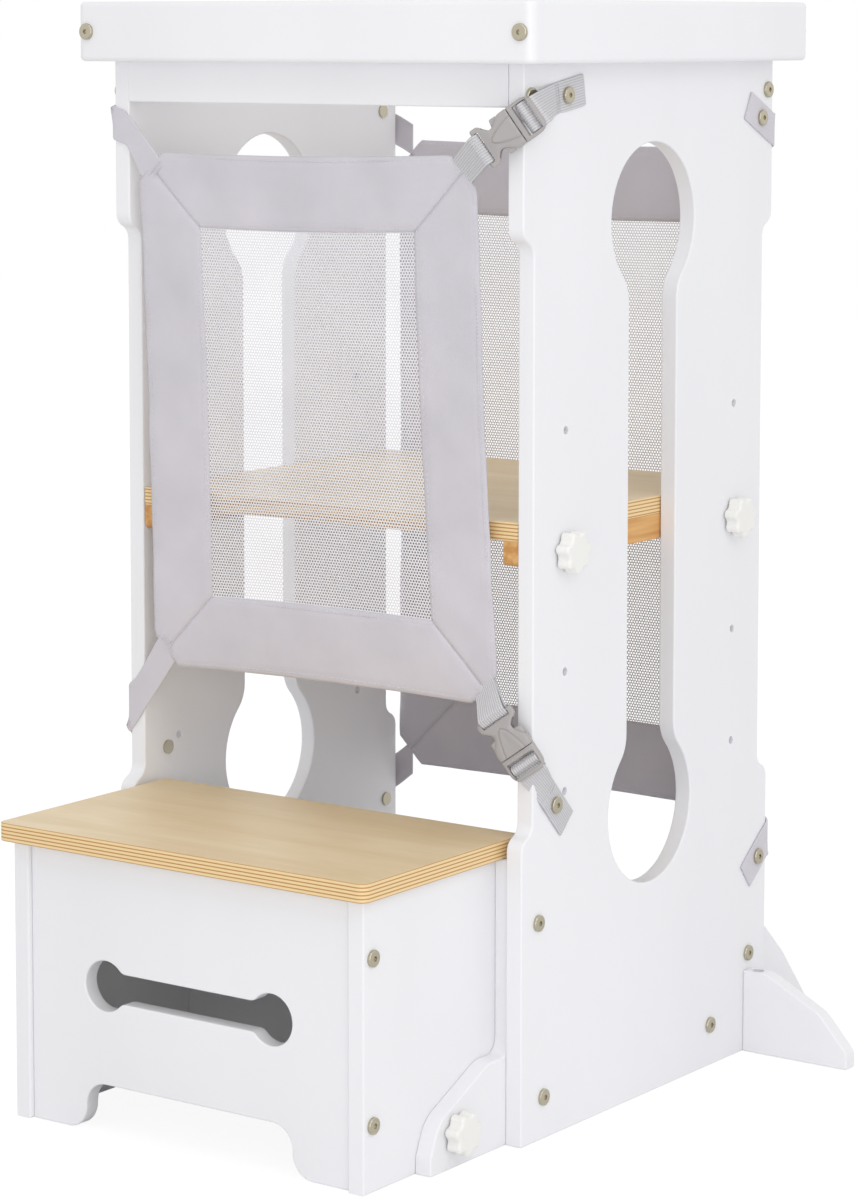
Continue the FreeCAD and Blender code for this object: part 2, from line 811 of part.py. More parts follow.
def bolt(at, out, length):
    """A socket bolt whose head's seat is at a point, facing out; its shank runs the other way."""
    radius = size.boltHead.value / 2
    high = size.boltHeadHigh.value
    head = Part.makeCylinder(radius, high, at, out)
    rim = [edge for edge in head.Edges if edge.Closed and edge.CenterOfMass.distanceToPoint(at + out * high) < 0.01]
    head = head.makeFillet(high * 0.4, rim)
    shank = Part.makeCylinder(size.boltShank.value / 2, length, at, out * -1)
    corners = []
    side = out.cross(Vector(0, 0, 1)).normalize()
    top = at + out * high
    for i in range(7):
        turn = Rotation(out, 60 * i).multVec(side)
        corners.append(top + turn * (size.boltSocket.value / math.sqrt(3)))
    socket = Part.Face(Part.makePolygon(corners)).extrude(out * -size.boltSocketDeep.value)
    return head.fuse(shank).removeSplitter().cut(socket)


def ring(at, out, wide, bore, length):
    body = Part.makeCylinder(wide / 2, length, at, out)
    return body.cut(Part.makeCylinder(bore / 2, length, at, out))


def spot(x, y, z):
    return Vector(plain(x), plain(y), plain(z))


bolts = []
for _, side in SIDES:
    for seat, out in ((zero, -1), (rimBack, 1)):
        length = size.rimThick.value + size.boltReach.value - 1
        bolts.append(bolt(spot(side * rimBoltX, seat, rimBoltZ), Vector(0, out, 0), length))
featureNode("rim_bolts", Part.makeCompound(bolts))

bolts = []
thick = size.boardThick.value
for _, side in SIDES:
    out = Vector(side, 0, 0)
    for at, length in (
        ((railFrontY, railZ), thick + size.boltReach.value - 1),
        ((railBackY, railZ), thick + size.boltReach.value - 1),
        (plateBolts[0], 2 * thick),
        (plateBolts[1], 2 * thick),
        (backFootBolt, 2 * thick),
        (backRailBolt, 2 * thick + size.boltReach.value / 2 - 1),
    ):
        bolts.append(bolt(spot(side * outer, *at), out, length))
featureNode("panel_bolts", Part.makeCompound(bolts))

bolts = []
for _, side in SIDES:
    for at in stepBolts:
        length = thick + size.boltReach.value - 1
        bolts.append(bolt(spot(side * plateInner, *at), Vector(side, 0, 0), length))
featureNode("step_bolts", Part.makeCompound(bolts))

bolts = []
nuts = []
for _, side in SIDES:
    # each one runs out from behind the panel into a barrel nut in the foot
    reach = thick + size.barrelFromFace.value
    bolts.append(bolt(spot(side * inner, *footBolt), Vector(-side, 0, 0), reach))
    centre = spot(side * (outer + size.barrelFromFace), footMiddle, size.footBoltHigh)
    long = size.barrelLong.value
    radius = size.barrelWide.value / 2 - size.studFit.value
    nut = Part.makeCylinder(radius, long, centre - Vector(0, 0, long / 2))
    bore = size.boltShank.value / 2 + size.studFit.value
    across = size.barrelWide.value
    nuts.append(nut.cut(Part.makeCylinder(bore, across, centre - Vector(side * across, 0, 0), Vector(side, 0, 0))))
featureNode("foot_bolts", Part.makeCompound(bolts))
featureNode("foot_barrel_nuts", Part.makeCompound(nuts))

webOff = size.webGap + size.webThick              # how far the webbing's face stands off
bolts = []
nuts = []
for _, side in SIDES:
    for at in strapBolts:
        out = Vector(side, 0, 0)
        bolts.append(bolt(spot(side * (outer + webOff), *at), out, thick + webOff.value))
        back = spot(side * inner, *at)
        bore = size.boltShank.value + 2 * size.studFit.value
        cap = Part.makeCylinder(size.sleeveHead.value / 2, size.sleeveHeadHigh.value, back, out * -1)
        nuts.append(cap.fuse(ring(back, out, size.sleeveBody.value, bore, thick - 2)))
featureNode("strap_bolts", Part.makeCompound(bolts))
featureNode("strap_sleeve_nuts", Part.makeCompound(nuts))

inserts = []
for _, side in SIDES:
    bore = size.studThick.value + 4 * size.studFit.value
    wide = size.insertWide.value - 2 * size.studFit.value
    inserts.append(ring(spot(side * plateInner, *toeKnob), Vector(-side, 0, 0), wide, bore, size.insertLong.value))
featureNode("step_inserts", Part.makeCompound(inserts))


# ---------------------------------------------------------------- hand knobs

knobSeats = []
for name, side in SIDES:
    knobSeats.append(("platform_" + name + "_front", side, outer, cleatHoles[0]))
    knobSeats.append(("platform_" + name + "_back", side, outer, cleatHoles[1]))
    knobSeats.append(("step_" + name, side, inner, toeKnob))
for name, side, face, at in knobSeats:
    outward = Rotation(Vector(0, 1, 0), 90 * side)
    seat = spot(side * face, *at)
    knob = newBody("knob_" + name, place(seat, outward))
    sketch = newSketch(knob, "XY", size.knobOff)
    wheel = Chain(sketch)
    star(wheel, size.knobAcross, size.knobLobes, size.knobLobe, size.knobValley)
    wheel.close()
    feature = knob.newObject("PartDesign::Pad", knob.Label + "_pad")
    feature.Profile = sketch
    feature.setExpression("Length", size.knobThick.text)
    knob.Tip = feature
    ease(knob, size.knobRound, lambda edge: edge.BoundBox.ZLength < 0.01)
    bore = size.studThick / 2 + size.studFit
    pocket(knob, "XY", size.knobOff, size.knobOff + size.knobBore, circles=[((zero, zero), bore)])
    stud = doc.addObject("Part::Cylinder", "stud_" + name)
    stud.Label = "stud_" + name
    stud.setExpression("Radius", (size.studThick / 2).text)
    stud.setExpression("Height", (size.studReach + size.knobOff + size.knobBore).text)
    stud.Placement = place(seat - Vector(side * size.studReach.value, 0, 0), outward)
    nodes.append(stud)


# ---------------------------------------------------------------- nets

netRise = size.netTop - size.netLow
netLean = size.netLowSet - size.netTopSet
netLong = root(netRise * netRise + netLean * netLean)
netAngle = math.degrees(math.atan2(netLean.value, netRise.value))
frontNetPlace = place(spot(0, size.netLowSet, size.netLow), Rotation(Vector(1, 0, 0), netAngle))
rearNetPlace = place(spot(0, panelBack + size.webGap + size.netThick / 2, size.rearNetLow))


def netBorder(label, placement, half, long, border):
    cut = size.netCornerCut
    frame = newBody(label, placement)
    corners = []
    for sx, sz in ((-1, 0), (1, 0), (1, 1), (-1, 1)):
        level = long * sz
        inward = 1 - 2 * sz
        pair = [(sx * half, level + cut * inward), (sx * (half - cut), level)]
        corners += pair if sx == inward * -1 else pair[::-1]
    low, high = -size.netThick / 2, size.netThick / 2
    pad(frame, "XZ", low, high, corners=[corners])
    window = rectangle(border - half, border, half - border, long - border)
    pocket(frame, "XZ", low - 1, high + 1, corners=[window])


def netMesh(label, placement, half, long, border, rows):
    """The mesh inside the border: one face with a hole for each gap."""
    wide = 2 * (half - border).value
    tall = (long - border * 2).value
    columns = int(size.meshColumns.value)
    stepX = wide / columns
    stepZ = tall / rows
    strand = size.meshStrand.value
    gapX = (stepX - strand) / 2
    gapZ = (stepZ - strand) / 2
    shape = ((-gapX, 0), (-gapX / 2, -gapZ), (gapX / 2, -gapZ), (gapX, 0), (gapX / 2, gapZ), (-gapX / 2, gapZ))
    back = size.meshThick.value / 2
    low = border.value
    rim = [(-wide / 2, low), (wide / 2, low), (wide / 2, low + tall), (-wide / 2, low + tall)]
    wires = [Part.makePolygon([Vector(x, back, z) for x, z in rim + rim[:1]])]
    for row in range(rows):
        for column in range(columns):
            x = (column + 0.5) * stepX - wide / 2
            z = low + (row + 0.5) * stepZ
            loop = [Vector(x + dx, back, z + dz) for dx, dz in shape + shape[:1]]
            wires.append(Part.makePolygon(loop))
    face = Part.makeFace(wires, "Part::FaceMakerBullseye")
    featureNode(label, face.extrude(Vector(0, -2 * back, 0)), placement)


netBorder("front_net_border", frontNetPlace, size.netHalf, netLong, size.netBorder)
netMesh("front_net_mesh", frontNetPlace, size.netHalf, netLong, size.netBorder, int(size.frontMeshRows.value))
rearLong = size.rearNetTop - size.rearNetLow
netBorder("rear_net_border", rearNetPlace, size.rearNetHalf, rearLong, size.rearNetBorder)
netMesh("rear_net_mesh", rearNetPlace, size.rearNetHalf, rearLong, size.rearNetBorder, int(size.rearMeshRows.value))


# ---------------------------------------------------------------- webbing

halfWeb = size.webWide.value / 2
halfThick = size.webThick.value / 2
lie = size.webGap.value + halfThick               # middle of the webbing off a face


def ribbon(stations):
    """Flat webbing through stations: middle, half its width, half its thickness."""
    sections = []
    for middle, across, thick in stations:
        section = [middle + across + thick, middle - across + thick]
        section += [middle - across - thick, middle + across - thick]
        sections.append(section)
    faces = []
    for section in (sections[0], sections[-1]):
        faces += triangles(*section)
    for here, there in zip(sections, sections[1:]):
        for i in range(4):
            j = (i + 1) % 4
            faces += triangles(here[i], here[j], there[j], there[i])
    solid = Part.makeSolid(Part.makeShell(faces))
    if solid.Volume < 0:
        solid.reverse()
    return solid


def triangles(a, b, c, d):
    return [Part.Face(Part.makePolygon([a, b, c, a])), Part.Face(Part.makePolygon([a, c, d, a]))]


def boltHole(shape, side, at):
    """The webbing with a hole for the bolt that holds it to the panel."""
    start = spot(side * inner, *at)
    return shape.cut(Part.makeCylinder(hole.value, 3 * thick, start, Vector(side, 0, 0)))


def onPanel(side, at, along, across=None):
    """A station flat on the panel's outer face; along is the webbing's direction there."""
    along = Vector(0, along[0], along[1]).normalize()
    width = Vector(0, -along.z, along.y) * halfWeb
    if width.z < 0:
        width = width * -1
    return (spot(side * (outer.value + lie), *at), width, Vector(side * halfThick, 0, 0))


def beyond(at, along, distance):
    along = Vector(0, along[0], along[1]).normalize() * plain(distance)
    return (plain(at[0]) + along.y, plain(at[1]) + along.z)


def netCorner(placement, half, long, sx, top, off):
    """Middle of a net's cut corner, moved out of it, and the direction along the cut."""
    cut = size.netCornerCut.value / 2
    level = plain(long) - cut if top else cut
    rise = 1 if top else -1
    at = Vector(sx * (half.value - cut), 0, level) + Vector(sx, 0, rise) * (off / math.sqrt(2))
    edge = Vector(-sx * rise, 0, 1).normalize()
    shift = Placement(-HOME, Rotation()).multiply(placement)
    return shift.multVec(at), shift.Rotation.multVec(edge)


# on the left the webbing goes round the panel's front edge
straps = []
for at, top, edgeY in ((strapBolts[0], True, panelFront), (strapBolts[1], False, waistFront)):
    middle, edge = netCorner(frontNetPlace, size.netHalf, netLong, -1, top, size.webGap.value)
    slope = 0.45 if top else -0.9
    cross = plain(at[1]) - slope * (plain(at[0]) - edgeY.value)
    fold = cross - slope * thick * 1.2
    tall = halfWeb * 1.15
    along = (1, slope)
    front = edgeY.value - lie
    left = outer.value + lie
    turn = halfThick
    straps.append(boltHole(ribbon([
        onPanel(-1, beyond(at, along, size.tabPast), along),
        onPanel(-1, (edgeY.value + 8, cross + 8 * slope), along),
        (Vector(-left, front, cross), Vector(0, 0, tall), Vector(-turn, -turn, 0)),
        (Vector(-inner.value, front, fold), Vector(0, 0, tall), Vector(0, -turn, 0)),
        (middle, edge * halfWeb, Vector(0, -turn, 0)),
    ]), -1, at))
featureNode("front_straps_left", Part.makeCompound(straps))

# at the back it goes round the panel's back edge and lies behind the net's corner
straps = []
for _, side in SIDES:
    for at, slope in ((strapBolts[2], -0.5), (strapBolts[3], 0.78)):
        along = (-1, -slope)
        cross = plain(at[1]) + slope * (panelBack.value - plain(at[0]))
        tall = halfWeb * math.sqrt(1 + slope * slope)
        wide = outer.value + lie
        back = panelBack.value + lie
        netBack = back + size.netThick.value + size.webGap.value
        # the middle of the webbing where it leaves the net's edge, and its end on the net
        leave = wide - size.rearNetHalf.value - 1
        end = leave + halfWeb
        straps.append(boltHole(ribbon([
            onPanel(side, beyond(at, along, size.tabPast), along),
            (Vector(side * wide, back, cross), Vector(0, 0, tall), Vector(side * halfThick, halfThick, 0)),
            (Vector(side * (wide - leave), netBack, cross + slope * leave), Vector(0, 0, tall), Vector(0, halfThick, 0)),
            (Vector(side * (wide - end), netBack, cross + slope * end), Vector(0, 0, tall), Vector(0, halfThick, 0)),
        ]), side, at))
featureNode("rear_straps", Part.makeCompound(straps))


# ---------------------------------------------------------------- buckles on the right

def buckleFrame(inset, edgeY, high, turn, tilt):
    """A frame at the buckle's mouth: X from the net to the tab, Z out of its face."""
    turn = math.radians(turn.value)
    tilt = math.radians(tilt.value)
    out = Vector(math.sin(turn), -math.cos(turn), 0)
    level = Vector(math.cos(turn), math.sin(turn), 0)
    along = level * math.cos(tilt) + Vector(0, 0, math.sin(tilt))
    rotation = Rotation(along, out.cross(along), out, "ZXY")
    return Placement(spot(outer - inset, edgeY - size.buckleOff, high), rotation)


buckles = (
    ("top", True, strapBolts[0], (1, 0.17), buckleFrame(
        size.topBuckleIn, panelFront, size.topBuckleHigh, size.topBuckleTurn, size.topBuckleTilt)),
    ("low", False, strapBolts[1], (1, -1.05), buckleFrame(
        size.lowBuckleIn, waistFront, size.lowBuckleHigh, size.lowBuckleTurn, size.lowBuckleTilt)),
)
tabs = []
loops = []
wide = size.buckleWide / 2
face = size.buckleThick / 2
cavity = wide - size.socketWall
barLong = size.slotLong / 2
bars = size.plugThick / 2
slotWide = size.webWide / 2 + 0.5
plugStart = size.webGap
firstSlot = plugStart + size.slotLong + 1
secondSlot = firstSlot + size.slotLong * 2
for name, top, at, along, frame in buckles:
    seat = Placement(HOME + frame.Base, frame.Rotation)
    long = size.socketLong
    socket = newBody("buckle_socket_" + name, seat)
    pad(socket, "XY", -face, face, corners=[[
        (-long, 1.5 - wide, size.socketWall),
        (zero, -wide, size.socketSkin),
        (zero, wide, size.socketSkin),
        (-long, wide - 1.5, size.socketWall),
    ]])
    ease(socket, size.edgeEase, lambda edge: edge.BoundBox.ZMin > 1)
    tabStart = -size.prongLong - 3
    pocket(socket, "XY", -face - 1, face - size.socketSkin, corners=[
        rectangle(tabStart - 3, -cavity, zero + 1, cavity)])
    windows = [
        rectangle(tabStart, cavity, -plugStart - 5, wide + 1),
        rectangle(tabStart, -wide - 1, -plugStart - 5, -cavity),
    ]
    pocket(socket, "XY", -face - 1, face + 1, corners=windows)
    slot = rectangle(barLong - long, -slotWide, barLong * 3 - long, slotWide)
    pocket(socket, "XY", -face - 1, face + 1, corners=[slot])

    plug = newBody("buckle_plug_" + name, seat)
    pad(plug, "XY", -bars, bars, corners=[[
        (plugStart, 1 - wide, size.socketSkin),
        (size.plugLong, 1 - wide, size.socketWall),
        (size.plugLong, wide - 1, size.socketWall),
        (plugStart, wide - 1, size.socketSkin),
    ]])
    slots = []
    for start in (firstSlot, secondSlot):
        slots.append(rectangle(start, -slotWide, start + size.slotLong, slotWide))
    pocket(plug, "XY", -bars - 1, bars + 1, corners=slots)
    pad(plug, "XY", 1 - bars, bars - 1, corners=[
        rectangle(-size.tongueLong, -size.tongueWide / 2, plugStart + 1, size.tongueWide / 2)])

    for which, side in (("a", -1), ("b", 1)):
        prong = newBody("buckle_prong_%s_%s" % (name, which), seat)
        start = size.tongueWide / 2 + size.prongGap
        end = start + size.prongWide
        tip = -size.prongLong
        points = [
            (zero, start),
            (zero, end),
            (tip * 0.45, end),
            (tip * 0.5, end + size.prongTab),
            (tip * 0.85, end + size.prongTab),
            (tip, end),
            (tip, start),
        ]
        pad(prong, "XY", 1 - bars, bars - 1, corners=[[(u, side * v) for u, v in points]])

    def local(u, w, du, dw):
        """A station in the buckle's frame; (du, dw) is half the webbing's thickness."""
        width = frame.Rotation.multVec(Vector(0, halfWeb, 0))
        offset = frame.Rotation.multVec(Vector(du, 0, dw)) * halfThick
        return (frame.multVec(Vector(plain(u), 0, plain(w))), width, offset)

    behind = -bars - lie
    above = bars + lie
    middleOne = firstSlot + size.slotLong / 2
    middleTwo = secondSlot + size.slotLong / 2
    start = beyond(at, along, size.tabPast)
    leave = beyond(at, along, -size.tabPast - 2)
    tabs.append(boltHole(ribbon([
        onPanel(1, start, along),
        onPanel(1, leave, along),
        local(size.plugLong + 2, behind, 0, 1),
        local(middleTwo + 1.2, behind, 0.8, 1),
        local(middleTwo - 1.1, above, 0.8, 1),
        local(middleOne + 1.1, above, -0.8, 1),
        local(middleOne - 1.2, behind, -0.8, 1),
        local(middleOne - 4.5, behind, 0, 1),
    ]), 1, at))

    corner, edge = netCorner(frontNetPlace, size.netHalf, netLong, 1, top, size.webGap.value)
    slotMiddle = barLong * 2 - long
    beforeBar = -long - 4
    off = face + lie
    layer = Vector(0, -halfThick - 0.1, 0)
    loops.append(ribbon([
        (corner + layer, edge * halfWeb, Vector(0, -halfThick, 0)),
        local(beforeBar, off, 0, 1),
        local(slotMiddle - 0.2, off, 0.8, 1),
        local(slotMiddle + 0.2, 0, 1, 0),
        local(slotMiddle - 0.2, -off, 0.8, -1),
        local(beforeBar, -off, 0, -1),
        (corner - layer, edge * halfWeb, Vector(0, halfThick, 0)),
    ]))
featureNode("front_tabs_right", Part.makeCompound(tabs))
featureNode("net_webbing_loops", Part.makeCompound(loops))


# ---------------------------------------------------------------- checks and files

doc.recompute()
for item in doc.Objects:
    if "Invalid" in item.State or "Error" in item.State:
        raise RuntimeError("%s failed: %s" % (item.Label, item.State))
for item in nodes:
    if item.Shape.isNull() or not item.Shape.isValid() or not item.Shape.Solids:
        raise RuntimeError("%s has no sound solid" % item.Label)
os.makedirs("parts", exist_ok=True)
for item in nodes:
    item.Shape.exportStep("parts/%s.step" % item.Label)
print("%d nodes, origin %.2f mm behind the rim's front" % (len(nodes), originSet.value))
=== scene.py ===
import json
import math

import bmesh
import bpy
from mathutils import Matrix, Vector, noise


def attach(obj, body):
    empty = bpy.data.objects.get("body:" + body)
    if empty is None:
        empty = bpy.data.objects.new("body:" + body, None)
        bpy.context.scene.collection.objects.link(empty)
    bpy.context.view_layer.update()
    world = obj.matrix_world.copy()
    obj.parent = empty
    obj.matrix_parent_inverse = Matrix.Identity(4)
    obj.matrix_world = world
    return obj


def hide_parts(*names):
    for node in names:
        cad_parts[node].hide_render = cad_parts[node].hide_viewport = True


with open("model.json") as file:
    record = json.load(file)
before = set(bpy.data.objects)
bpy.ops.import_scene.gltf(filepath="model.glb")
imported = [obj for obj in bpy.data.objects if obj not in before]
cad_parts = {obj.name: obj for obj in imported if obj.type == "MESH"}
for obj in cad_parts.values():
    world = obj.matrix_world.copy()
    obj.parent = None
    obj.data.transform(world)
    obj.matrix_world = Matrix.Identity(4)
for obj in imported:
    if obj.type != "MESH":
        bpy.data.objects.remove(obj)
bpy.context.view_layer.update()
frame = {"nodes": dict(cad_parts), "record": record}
nodes = frame["nodes"]
mm = 0.001
print("frame loaded:", len(nodes), "nodes")


def linear(hexColour):
    channels = [int(hexColour[i:i + 2], 16) / 255 for i in (1, 3, 5)]
    return [c / 12.92 if c <= 0.04045 else ((c + 0.055) / 1.055) ** 2.4 for c in channels] + [1.0]


def addNode(tree, kind, settings=None, links=None, values=None, feeds=None, stops=()):
    # links come in from other nodes, feeds go out to sockets, and stops are a ramp's (place, colour)
    node = tree.nodes.new(kind)
    for key, value in (settings or {}).items():
        setattr(node, key, value)
    for key, value in (values or {}).items():
        node.inputs[key].default_value = value
    for key, source in (links or {}).items():
        tree.links.new(source, node.inputs[key])
    for key, socket in (feeds or {}).items():
        tree.links.new(node.outputs[key], socket)
    for i, (position, colour) in enumerate(stops):
        element = node.color_ramp.elements[i]
        element.position = position
        element.color = linear(colour)
    return node


def newMaterial(name, colour, roughness, **inputs):
    material = bpy.data.materials.new(name)
    material.use_nodes = True
    tree = material.node_tree
    shader = tree.nodes["Principled BSDF"]
    shader.inputs["Base Color"].default_value = linear(colour)
    shader.inputs["Roughness"].default_value = roughness
    for key, value in inputs.items():
        shader.inputs[key.replace("_", " ")].default_value = value
    return material, tree, shader


def stretched(tree, scale=(1, 1, 1)):
    # the object's own space, drawn out along an axis where scale is small
    coordinates = addNode(tree, "ShaderNodeTexCoord")
    mapping = addNode(tree, "ShaderNodeMapping", links={"Vector": coordinates.outputs["Object"]},
                      values={"Scale": scale})
    return mapping.outputs["Vector"]


def perMetre(millimetres):
    return 1000 / millimetres


def satinLacquer():
    # white water-based lacquer, sprayed on birch ply and rubbed down: soft wide highlights, faint orange peel
    look = {"colour": "#F1F1F4", "deep": "#EDEDF0", "roughness": 0.38, "peel": 9.6, "strength": 0.09,
            "depth": 0.2, "tonePerMetre": 7.0}  # lengths in mm
    material, tree, shader = newMaterial("satinLacquer", look["colour"], look["roughness"])
    peel = addNode(tree, "ShaderNodeTexNoise", links={"Vector": stretched(tree)},
                   values={"Scale": perMetre(look["peel"]), "Detail": 3.0})
    tone = addNode(tree, "ShaderNodeTexNoise", links={"Vector": stretched(tree, (1, 1, 0.35))},
                   values={"Scale": look["tonePerMetre"], "Detail": 2.0})
    addNode(tree, "ShaderNodeValToRGB", links={"Fac": tone.outputs["Fac"]},
            stops=[(0.3, look["deep"]), (0.7, look["colour"])], feeds={"Color": shader.inputs["Base Color"]})
    addNode(tree, "ShaderNodeBump", links={"Height": peel.outputs["Fac"]},
            values={"Strength": look["strength"], "Distance": look["depth"] * mm},
            feeds={"Normal": shader.inputs["Normal"]})
    return material


def birchPlywood():
    # rotary-cut birch ply under clear lacquer: flowing figure on the faces, light and dark plies on the edges
    look = {"pale": "#EAD5AF", "warm": "#DEC498", "plyLight": "#EFD3A0", "plyDark": "#BC8A4E",
            "roughness": 0.42, "ply": 2.9, "figure": 42.0, "poresPerMetre": 420.0, "poreShare": 0.22,
            "strength": 0.12, "depth": 0.2}  # lengths in mm
    flatEnough = 0.85  # a face, and not an edge, where the normal's Z is over this
    material, tree, shader = newMaterial("birchPlywood", look["pale"], look["roughness"])
    figure = addNode(tree, "ShaderNodeTexNoise", links={"Vector": stretched(tree, (0.16, 1, 1))}, values={
        "Scale": perMetre(look["figure"]), "Detail": 6.0, "Roughness": 0.62, "Distortion": 0.6})
    pores = addNode(tree, "ShaderNodeTexNoise", links={"Vector": stretched(tree, (0.03, 1, 1))},
                    values={"Scale": look["poresPerMetre"], "Detail": 2.0})
    both = addNode(tree, "ShaderNodeMath", {"operation": "MULTIPLY_ADD"},
                   {0: pores.outputs["Fac"], 2: figure.outputs["Fac"]}, {1: look["poreShare"]})
    face = addNode(tree, "ShaderNodeValToRGB", links={"Fac": both.outputs["Value"]},
                   stops=[(0.42, look["warm"]), (0.78, look["pale"])])
    coordinates = addNode(tree, "ShaderNodeTexCoord")
    split = addNode(tree, "ShaderNodeSeparateXYZ", links={"Vector": coordinates.outputs["Object"]})
    stack = addNode(tree, "ShaderNodeMath", {"operation": "MULTIPLY"}, {0: split.outputs["Z"]},
                    {1: 2 * math.pi / (look["ply"] * mm)})
    wave = addNode(tree, "ShaderNodeMath", {"operation": "SINE"}, {0: stack.outputs["Value"]})
    rise = addNode(tree, "ShaderNodeMath", {"operation": "MULTIPLY_ADD"}, {0: wave.outputs["Value"]},
                   {1: 0.5, 2: 0.5})
    plies = addNode(tree, "ShaderNodeValToRGB", links={"Fac": rise.outputs["Value"]},
                    stops=[(0.12, look["plyDark"]), (0.4, look["plyLight"])])
    geometry = addNode(tree, "ShaderNodeNewGeometry")
    level = addNode(tree, "ShaderNodeSeparateXYZ", links={"Vector": geometry.outputs["Normal"]})
    steep = addNode(tree, "ShaderNodeMath", {"operation": "ABSOLUTE"}, {0: level.outputs["Z"]})
    isFace = addNode(tree, "ShaderNodeMath", {"operation": "GREATER_THAN"}, {0: steep.outputs["Value"]},
                     {1: flatEnough})
    # inputs 6 and 7 and output 2 are the node's colours
    addNode(tree, "ShaderNodeMix", {"data_type": "RGBA"},
            {0: isFace.outputs["Value"], 6: plies.outputs["Color"], 7: face.outputs["Color"]},
            feeds={2: shader.inputs["Base Color"]})
    addNode(tree, "ShaderNodeBump", links={"Height": pores.outputs["Fac"]},
            values={"Strength": look["strength"], "Distance": look["depth"] * mm},
            feeds={"Normal": shader.inputs["Normal"]})
    return material


def sawnPine():
    # planed pine batten, only oiled: orange latewood lines along its length, matte
    look = {"early": "#E0B070", "late": "#C98F50", "roughness": 0.6, "rings": 7.0, "strength": 0.2,
            "depth": 0.2}  # lengths in mm
    material, tree, shader = newMaterial("sawnPine", look["early"], look["roughness"])
    rings = addNode(tree, "ShaderNodeTexNoise", links={"Vector": stretched(tree, (1, 0.05, 1))},
                    values={"Scale": perMetre(look["rings"]), "Detail": 3.0, "Distortion": 0.3})
    addNode(tree, "ShaderNodeValToRGB", links={"Fac": rings.outputs["Fac"]},
            stops=[(0.38, look["late"]), (0.6, look["early"])], feeds={"Color": shader.inputs["Base Color"]})
    addNode(tree, "ShaderNodeBump", links={"Height": rings.outputs["Fac"]},
            values={"Strength": look["strength"], "Distance": look["depth"] * mm},
            feeds={"Normal": shader.inputs["Normal"]})
    return material


def nickelledSteel():
    # bright nickel on pressed steel, tumbled: a slightly warm metal with small soft scratches
    look = {"colour": "#BDB6A2", "roughness": 0.27, "scratch": 2.0, "strength": 0.15,
            "depth": 0.1}  # lengths in mm
    material, tree, shader = newMaterial("nickelledSteel", look["colour"], look["roughness"], Metallic=1.0)
    rub = addNode(tree, "ShaderNodeTexNoise", links={"Vector": stretched(tree)},
                  values={"Scale": perMetre(look["scratch"]), "Detail": 4.0})
    addNode(tree, "ShaderNodeBump", links={"Height": rub.outputs["Fac"]},
            values={"Strength": look["strength"], "Distance": look["depth"] * mm},
            feeds={"Normal": shader.inputs["Normal"]})
    return material


def mouldedPlastic(name, colour, roughness, spark):
    # injection-moulded nylon or acetal with a fine spark-eroded texture: even, slightly waxy
    look = {"wax": 0.04, "waxDepth": 2.0, "strength": 0.12, "depth": 0.15}  # lengths in mm
    material, tree, shader = newMaterial(name, colour, roughness, Subsurface_Weight=look["wax"],
                                         Subsurface_Scale=look["waxDepth"] * mm)
    pits = addNode(tree, "ShaderNodeTexNoise", links={"Vector": stretched(tree)},
                   values={"Scale": perMetre(spark), "Detail": 2.0})
    addNode(tree, "ShaderNodeBump", links={"Height": pits.outputs["Fac"]},
            values={"Strength": look["strength"], "Distance": look["depth"] * mm},
            feeds={"Normal": shader.inputs["Normal"]})
    return material


def woven(name, light, dark, thread, strength, sheen=0.25):
    # polyester in plain weave: threads of about 0.3 mm are drawn coarser where they would be too fine to show
    look = {"roughness": 0.82, "softness": 0.5, "depth": 0.2, "cloudsPerMetre": 18.0}  # lengths in mm
    material, tree, shader = newMaterial(name, light, look["roughness"], Sheen_Weight=sheen,
                                         Sheen_Roughness=look["softness"])
    coordinates = addNode(tree, "ShaderNodeTexCoord")
    split = addNode(tree, "ShaderNodeSeparateXYZ", links={"Vector": coordinates.outputs["Object"]})
    waves = []
    for axis in ("X", "Z"):
        run = addNode(tree, "ShaderNodeMath", {"operation": "MULTIPLY"}, {0: split.outputs[axis]},
                      {1: math.pi / (thread * mm)})
        waves.append(addNode(tree, "ShaderNodeMath", {"operation": "SINE"}, {0: run.outputs["Value"]}))
    weave = addNode(tree, "ShaderNodeMath", {"operation": "MULTIPLY"},
                    {0: waves[0].outputs["Value"], 1: waves[1].outputs["Value"]})
    cloud = addNode(tree, "ShaderNodeTexNoise", links={"Vector": stretched(tree)},
                    values={"Scale": look["cloudsPerMetre"], "Detail": 3.0})
    addNode(tree, "ShaderNodeValToRGB", links={"Fac": cloud.outputs["Fac"]}, stops=[(0.3, dark), (0.7, light)],
            feeds={"Color": shader.inputs["Base Color"]})
    addNode(tree, "ShaderNodeBump", links={"Height": weave.outputs["Value"]},
            values={"Strength": strength, "Distance": look["depth"] * mm},
            feeds={"Normal": shader.inputs["Normal"]})
    return material


